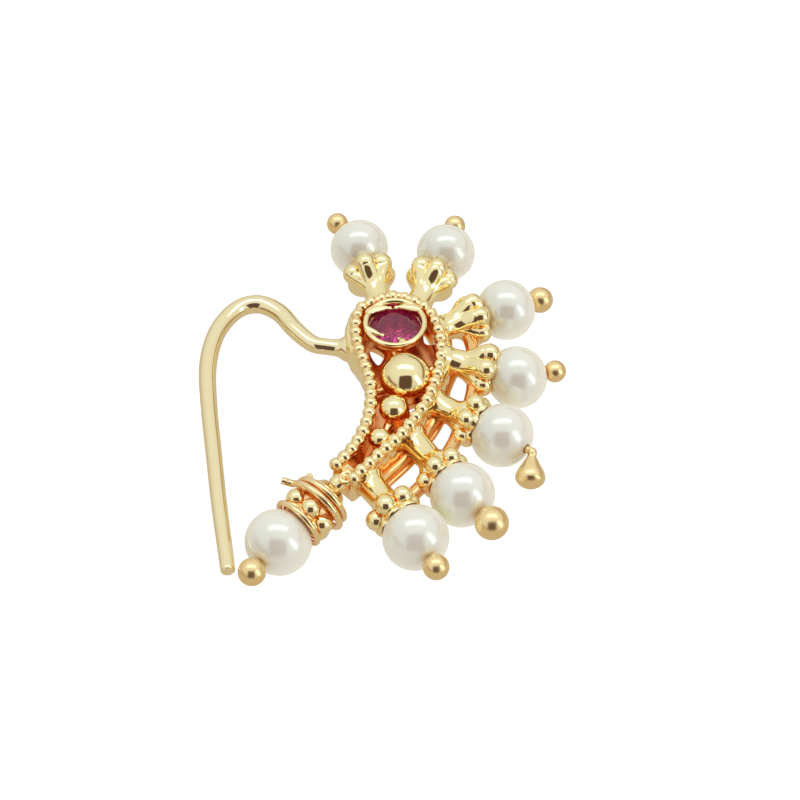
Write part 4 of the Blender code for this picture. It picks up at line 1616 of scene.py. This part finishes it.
@dataclass
class Studio:
    """A light tent with two soft strips, a dark opening, two brown ones low down, and a table."""

    bench: Bench
    elevation: float = 50.0
    distance: float = 88.0 * MM
    focal_pixels: float = 1589.0
    picture: float = 800.0
    sensor: float = 36.0
    aim: tuple[float, float] = (0.28 * MM, -4.55 * MM)
    strip_away: float = 0.6
    table_half: float = 1.5
    wall_low: Colour = (0.71, 0.68, 0.64)
    wall_high: Colour = (0.86, 0.86, 0.85)
    opening: Colour = (0.12, 0.07, 0.055)
    opening_rise: float = -17.0
    opening_edge: tuple[float, float] = (0.48, 0.66)
    brown: Colour = (0.34, 0.21, 0.11)
    # The brown openings: the way to the middle of each, and where it starts and is full
    brown_sides: Rows = (
        (0.77, 0.64, 0.62, 0.80),
        (-0.90, -0.43, 0.80, 0.92),
    )

    def _basis(self) -> tuple[Vector, Vector, Vector]:
        """Directions towards the camera, to its right and up in its picture."""
        flat, tall = math.cos(math.radians(self.elevation)), math.sin(math.radians(self.elevation))
        return Vector((0, -flat, tall)), Vector((1, 0, 0)), Vector((0, tall, flat))

    def camera(self) -> None:
        """The camera at the photo's angle and distance."""
        back, _, _ = self._basis()
        target = self.bench.origin + Vector((*self.aim, 0.0))
        data = bpy.data.cameras.new("camera")
        data.sensor_width = self.sensor
        data.lens = self.focal_pixels * self.sensor / self.picture
        data.clip_start = 0.001
        made = put("camera", data)
        made.location = target + back * self.distance
        made.rotation_euler = (math.radians(90 - self.elevation), 0, 0)
        bpy.context.scene.camera = made

    def strip(self, name: str, up: float, right: float, size: tuple[float, float], radiance: float) -> None:
        """A soft light.

        Args:
            name: the light's name.
            up: how far above the camera's direction it is, in degrees.
            right: how far to its right, in degrees.
            size: its width and height as angles, in degrees.
            radiance: how bright its face is.
        """
        back, side, top = self._basis()
        a, b = math.radians(up), math.radians(right)
        level = back * math.cos(a) * math.cos(b)
        way = (level + top * math.sin(a) + side * math.cos(a) * math.sin(b)).normalized()
        wide, tall = (2 * self.strip_away * math.tan(math.radians(angle / 2)) for angle in size)
        data = bpy.data.lights.new(name, "AREA")
        data.shape = "RECTANGLE"
        data.size = wide
        data.size_y = tall
        data.energy = radiance * math.pi * wide * tall
        made = put(name, data)
        made.location = self.bench.origin + way * self.strip_away
        made.rotation_euler = way.to_track_quat("Z", "Y").to_euler()

    def tent(self) -> None:
        """The tent's walls, paler above than at the sides, with the dark opening and the brown ones."""
        world = bpy.data.worlds.new("tent")
        bpy.context.scene.world = world
        world.use_nodes = True
        graph = Graph(world.node_tree)
        place = graph.add("ShaderNodeTexCoord")["Generated"]
        parts = graph.add("ShaderNodeSeparateXYZ", {"Vector": place})
        back, side, top = self._basis()
        low = math.radians(self.opening_rise)
        centre = back * math.cos(low) + top * math.sin(low)
        upward = top * math.cos(low) - back * math.sin(low)

        def along(axis: Vector) -> Wire:
            """How far the direction goes along an axis."""
            return parts["X"] * axis.x + parts["Y"] * axis.y + parts["Z"] * axis.z

        ahead = along(centre)
        wide = abs(along(side) / ahead).eased(*self.opening_edge)
        tall = abs(along(upward) / ahead).eased(*self.opening_edge)
        dark = (1.0 - wide) * (1.0 - tall) * ahead.eased(0.05, 0.10)
        plain = graph.blend(parts["Z"].eased(-0.1, 0.9), self.wall_low, self.wall_high)
        level = parts["Z"].eased(0.02, 0.08) * (1.0 - parts["Z"].eased(0.20, 0.30))
        right, left = (along(Vector((x, y, 0.0))).eased(*edge) for x, y, *edge in self.brown_sides)
        walls = graph.blend(level * (right + left), plain, self.brown)
        colour = graph.blend(dark, walls, self.opening)
        shade = graph.add("ShaderNodeBackground", {"Color": colour, "Strength": 1.0})
        graph.add("ShaderNodeOutputWorld", {"Surface": shade["Background"]})

    def _table(self, name: str, height: float, base: float, glow: Colour) -> bpy.types.Object:
        """A wide level plane.

        Args:
            name: the plane's name.
            height: its Z.
            base: its grey.
            glow: the light that it gives off.

        Returns:
            The plane, as part of the stage.
        """
        half = self.table_half
        bm = bmesh.new()
        corners = ((-1, -1), (1, -1), (1, 1), (-1, 1))
        bm.faces.new([bm.verts.new((x * half, y * half, height)) for x, y in corners])
        mesh = mesh_of(name, bm)
        material, graph = shader_graph(name)
        graph.close_surface({
            "Base Color": (base, base, base, 1.0),
            "Roughness": 1.0,
            "Emission Color": (*glow, 1.0),
            "Emission Strength": 1.0,
        })
        mesh.materials.append(material)
        made = put(name, mesh)
        return made

    def floor(self) -> None:
        """A white table with hardly any shadow, and the warmer grey that the polished metal sees of it."""
        white = self._table("table_white", 0.0, 0.15, (0.97, 0.97, 0.97))
        white.visible_glossy = False
        mirrored = self._table("table_mirrored", -0.05 * MM, 0.0, (0.60, 0.52, 0.42))
        mirrored.visible_camera = False
        mirrored.visible_diffuse = False
        mirrored.visible_transmission = False
        mirrored.visible_shadow = False

    def set_up(self) -> None:
        """Makes the camera, the lights and the floor."""
        self.camera()
        self.tent()
        self.strip("strip_above", 54.0, 0.0, (62.0, 17.0), 1.35)
        self.strip("strip_right", -4.0, 56.0, (15.0, 40.0), 1.7)
        self.floor()
        scene = bpy.context.scene
        scene.view_settings.view_transform = "Standard"
        scene.cycles.max_bounces = 14
        scene.cycles.glossy_bounces = 8
        scene.cycles.transmission_bounces = 12


def main() -> None:
    """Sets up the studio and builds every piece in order."""
    logging.basicConfig(level=logging.INFO, format="%(message)s")
    bench = Bench()
    studio = Studio(bench)
    studio.set_up()

    gold = GoldFinish("gold", (0.99, 0.875, 0.49), (0.96, 0.52, 0.19)).make()
    # A darker, redder copy of the gold: painted shade and painted reflection of gold for the back, the
    # gallery wire, the webs and the ledge
    shaded_gold = GoldFinish("gold_shaded", (0.94, 0.60, 0.27), (0.90, 0.46, 0.20), roughness=0.15).make()
    pin_gold = GoldFinish("gold_warm", (0.98, 0.77, 0.40), (0.93, 0.50, 0.16), roughness=0.27).make()
    # A darker, redder copy of the gold for the tail's winding, ring and collar: painted shade behind the
    # lobes
    shaded_rose = GoldFinish("gold_rose_shaded", (0.98, 0.79, 0.45), (0.92, 0.52, 0.22), roughness=0.12).make()
    pale = {"roughness": 0.05, "wave_height": 0.006 * MM, "dent_height": 0.0}
    hook_gold = GoldFinish("gold_pale", (0.97, 0.86, 0.53), (0.95, 0.66, 0.28), **pale).make()
    rope_gold = GoldFinish("gold_rope", (0.99, 0.84, 0.47), (0.95, 0.54, 0.20), roughness=0.13).make()
    nacre = PearlFinish("pearl_white").make()
    ruby = RubyFinish("ruby_red").make()

    threader = Threader(bench)
    body = Body()
    rail = Rail(body)
    cups = CupTable().cups(rail)

    FrameWall(rail).lay(bench, gold, shaded_gold)
    BeadRope(rail).lay(threader, rope_gold)
    StoneSetting(body).lay(bench, gold, ruby)
    Domes(rail).lay(bench, gold)
    SolderBridges().lay(bench, gold)
    HookWire(rail, cups[-1]).lay(threader, hook_gold)
    for cup in cups:
        cup.lay(bench, gold, pin_gold, nacre)
    # The gallery wire, the webs and the ledge take the darker copy of the gold, as painted shade
    GalleryWire(rail, cups[4].station, cups[6].station).lay(threader, shaded_gold)
    CupWebs(cups).lay(threader, shaded_gold)
    # The tail's winding, ring and collar take the darker rose copy of the gold, as painted shade
    TailTrim(cups[-1]).lay(bench, threader, gold, shaded_rose)
    HollowFinder().mark([piece for piece in bench.pieces if piece.name != "ruby_stone"])

    log.info("pieces: %d", len(bench.pieces))


if __name__ == "__main__":
    main()
